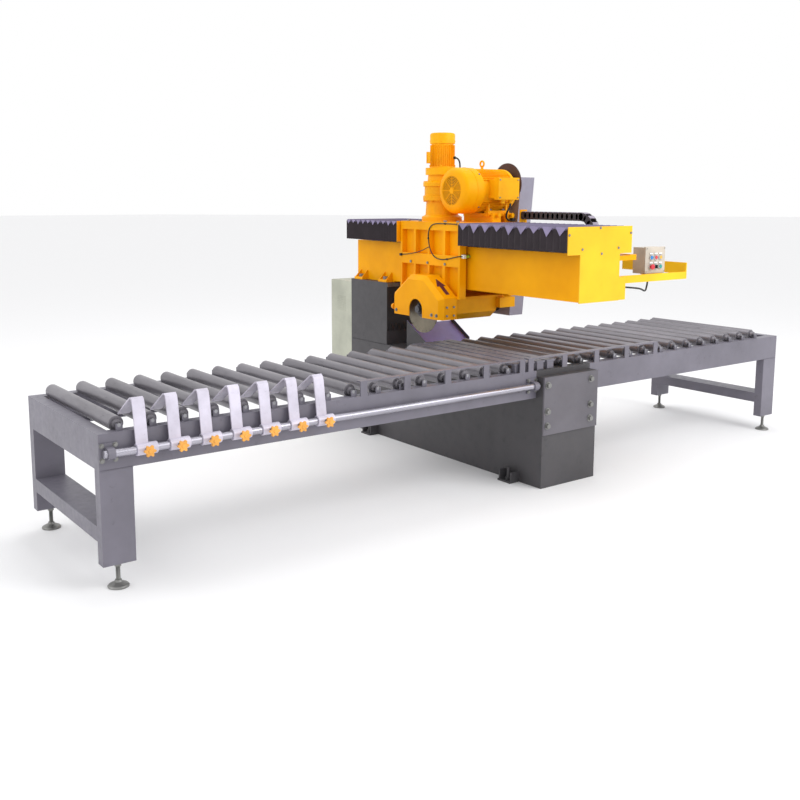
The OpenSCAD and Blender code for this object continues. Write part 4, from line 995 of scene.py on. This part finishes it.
box_paint = finish("warm grey box paint", tone(196, 186, 172), 0.42, worn=tone(168, 156, 142),
                   scale=6.0, grain=700.0, bump=0.12)
dress(box_paint, "control_box", edge=0.0012)
label_white = finish("white label film", tone(236, 236, 236), 0.3, worn=tone(214, 214, 214), scale=20.0,
                     grain=500.0, bump=0.03)
bezel_chrome = finish("bright bezel", tone(210, 210, 214), 0.16, metallic=1.0, worn=tone(170, 170, 172),
                      scale=30.0, grain=500.0, bump=0.04)
controls = (((30, 128, 200), "button_blue"), ((214, 54, 60), "button_red"),
            ((222, 176, 60), "button_yellow"), ((208, 40, 56), "button_red"),
            ((30, 30, 32), "button_black"), ((24, 150, 136), "button_teal"))
emergency_stop, selector = 4, 5
r = 0.013
trim, labels = bmesh.new(), bmesh.new()
panel_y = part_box("control_box")[0].y + 0.004
for i, (colour, slot) in enumerate(controls, start=1):
    low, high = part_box("button_%d" % i)
    cx, cz = (low.x + high.x) / 2, (low.z + high.z) / 2
    back = high.y
    button_plastic = finish("button plastic %d" % i, tone(*colour), 0.22,
                            worn=tone(*[c * 0.8 for c in colour]), scale=40.0, grain=600.0,
                            bump=0.03, coat=0.4)
    bm = bmesh.new()
    if i == emergency_stop:
        head = [(0.018, r - 0.0002), (0.020, 0.017), (0.023, 0.019), (0.027, 0.019), (0.031, 0.016),
                (0.032, 0.008), (0.032, 0)]
    elif i == selector:
        head = [(0.017, r - 0.0002), (0.018, 0.011), (0.018, 0)]
        box(bm, (cx - 0.004, back - 0.028, cz - 0.0125), (cx + 0.004, back - 0.017, cz + 0.0125))
    else:
        head = [(0.016, r - 0.0002), (0.018, r - 0.0018), (0.0172, 0.006), (0.017, 0)]
    turned(bm, (cx, back, cz), (0, -1, 0), [(0, 0), (r - 0.0002, 0)] + [(w, out) for out, w in head], 40)
    made = piece("button %d" % i, bm, [button_plastic], "button_%d" % i, slot, edge=0.0004)
    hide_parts("button_%d" % i)
    rise = 0.0035 if i == emergency_stop else 0.0090
    turned(trim, (cx, panel_y - 0.0005, cz), (0, -1, 0),
           [(r + 0.0004, 0.0), (r + 0.0055, 0.0), (r + 0.0055, rise - 0.002), (r + 0.0040, rise),
            (r + 0.0004, rise - 0.0004)], 40)
    box(labels, (cx - 0.016, panel_y - 0.0048, cz + 0.0225), (cx + 0.016, panel_y - 0.0040, cz + 0.0315))
piece("control bezels", trim, [bezel_chrome], "machine", "zinc", edge=0)
low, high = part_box("control_box")
for x in (low.x + 0.010, high.x - 0.010):
    for z in (low.z + 0.060, high.z - 0.010):
        rod(labels, (x, panel_y - 0.004, z), (x, panel_y - 0.0062, z), 0.0035, 16, mat=1)
piece("control labels", labels, [label_white, zinc], "machine", "box_paint", edge=0.0002)

arm_low, arm_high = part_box("control_arm")
gland = Vector((low.x + 0.132, high.y - 0.025, arm_low.z + 0.06))
hose("control box cable", [(gland.x, gland.y, low.z + 0.020), (gland.x, gland.y, low.z - 0.022),
                           (gland.x - 0.008, gland.y, gland.z - 0.012),
                           (gland.x - 0.05, gland.y - 0.02, gland.z - 0.034),
                           (gland.x - 0.16, gland.y - 0.058, gland.z - 0.010),
                           (gland.x - 0.34, gland.y - 0.078, gland.z + 0.010),
                           (arm_low.x + 0.105, gland.y - 0.094, gland.z + 0.012),
                           (arm_low.x + 0.066, gland.y - 0.100, gland.z + 0.012)],
     0.006, "machine")


# ---- Traverse drive -----------------------------------------------------------------------
# The gearmotor that turns the traverse screw, out of sight under the rear bellows.

motor_grey = finish("blue-grey motor paint", tone(92, 108, 120), 0.42, worn=tone(70, 82, 92), scale=8.0,
                    grain=240.0, bump=0.2)
dress(motor_grey, "traverse_motor", edge=0.002)
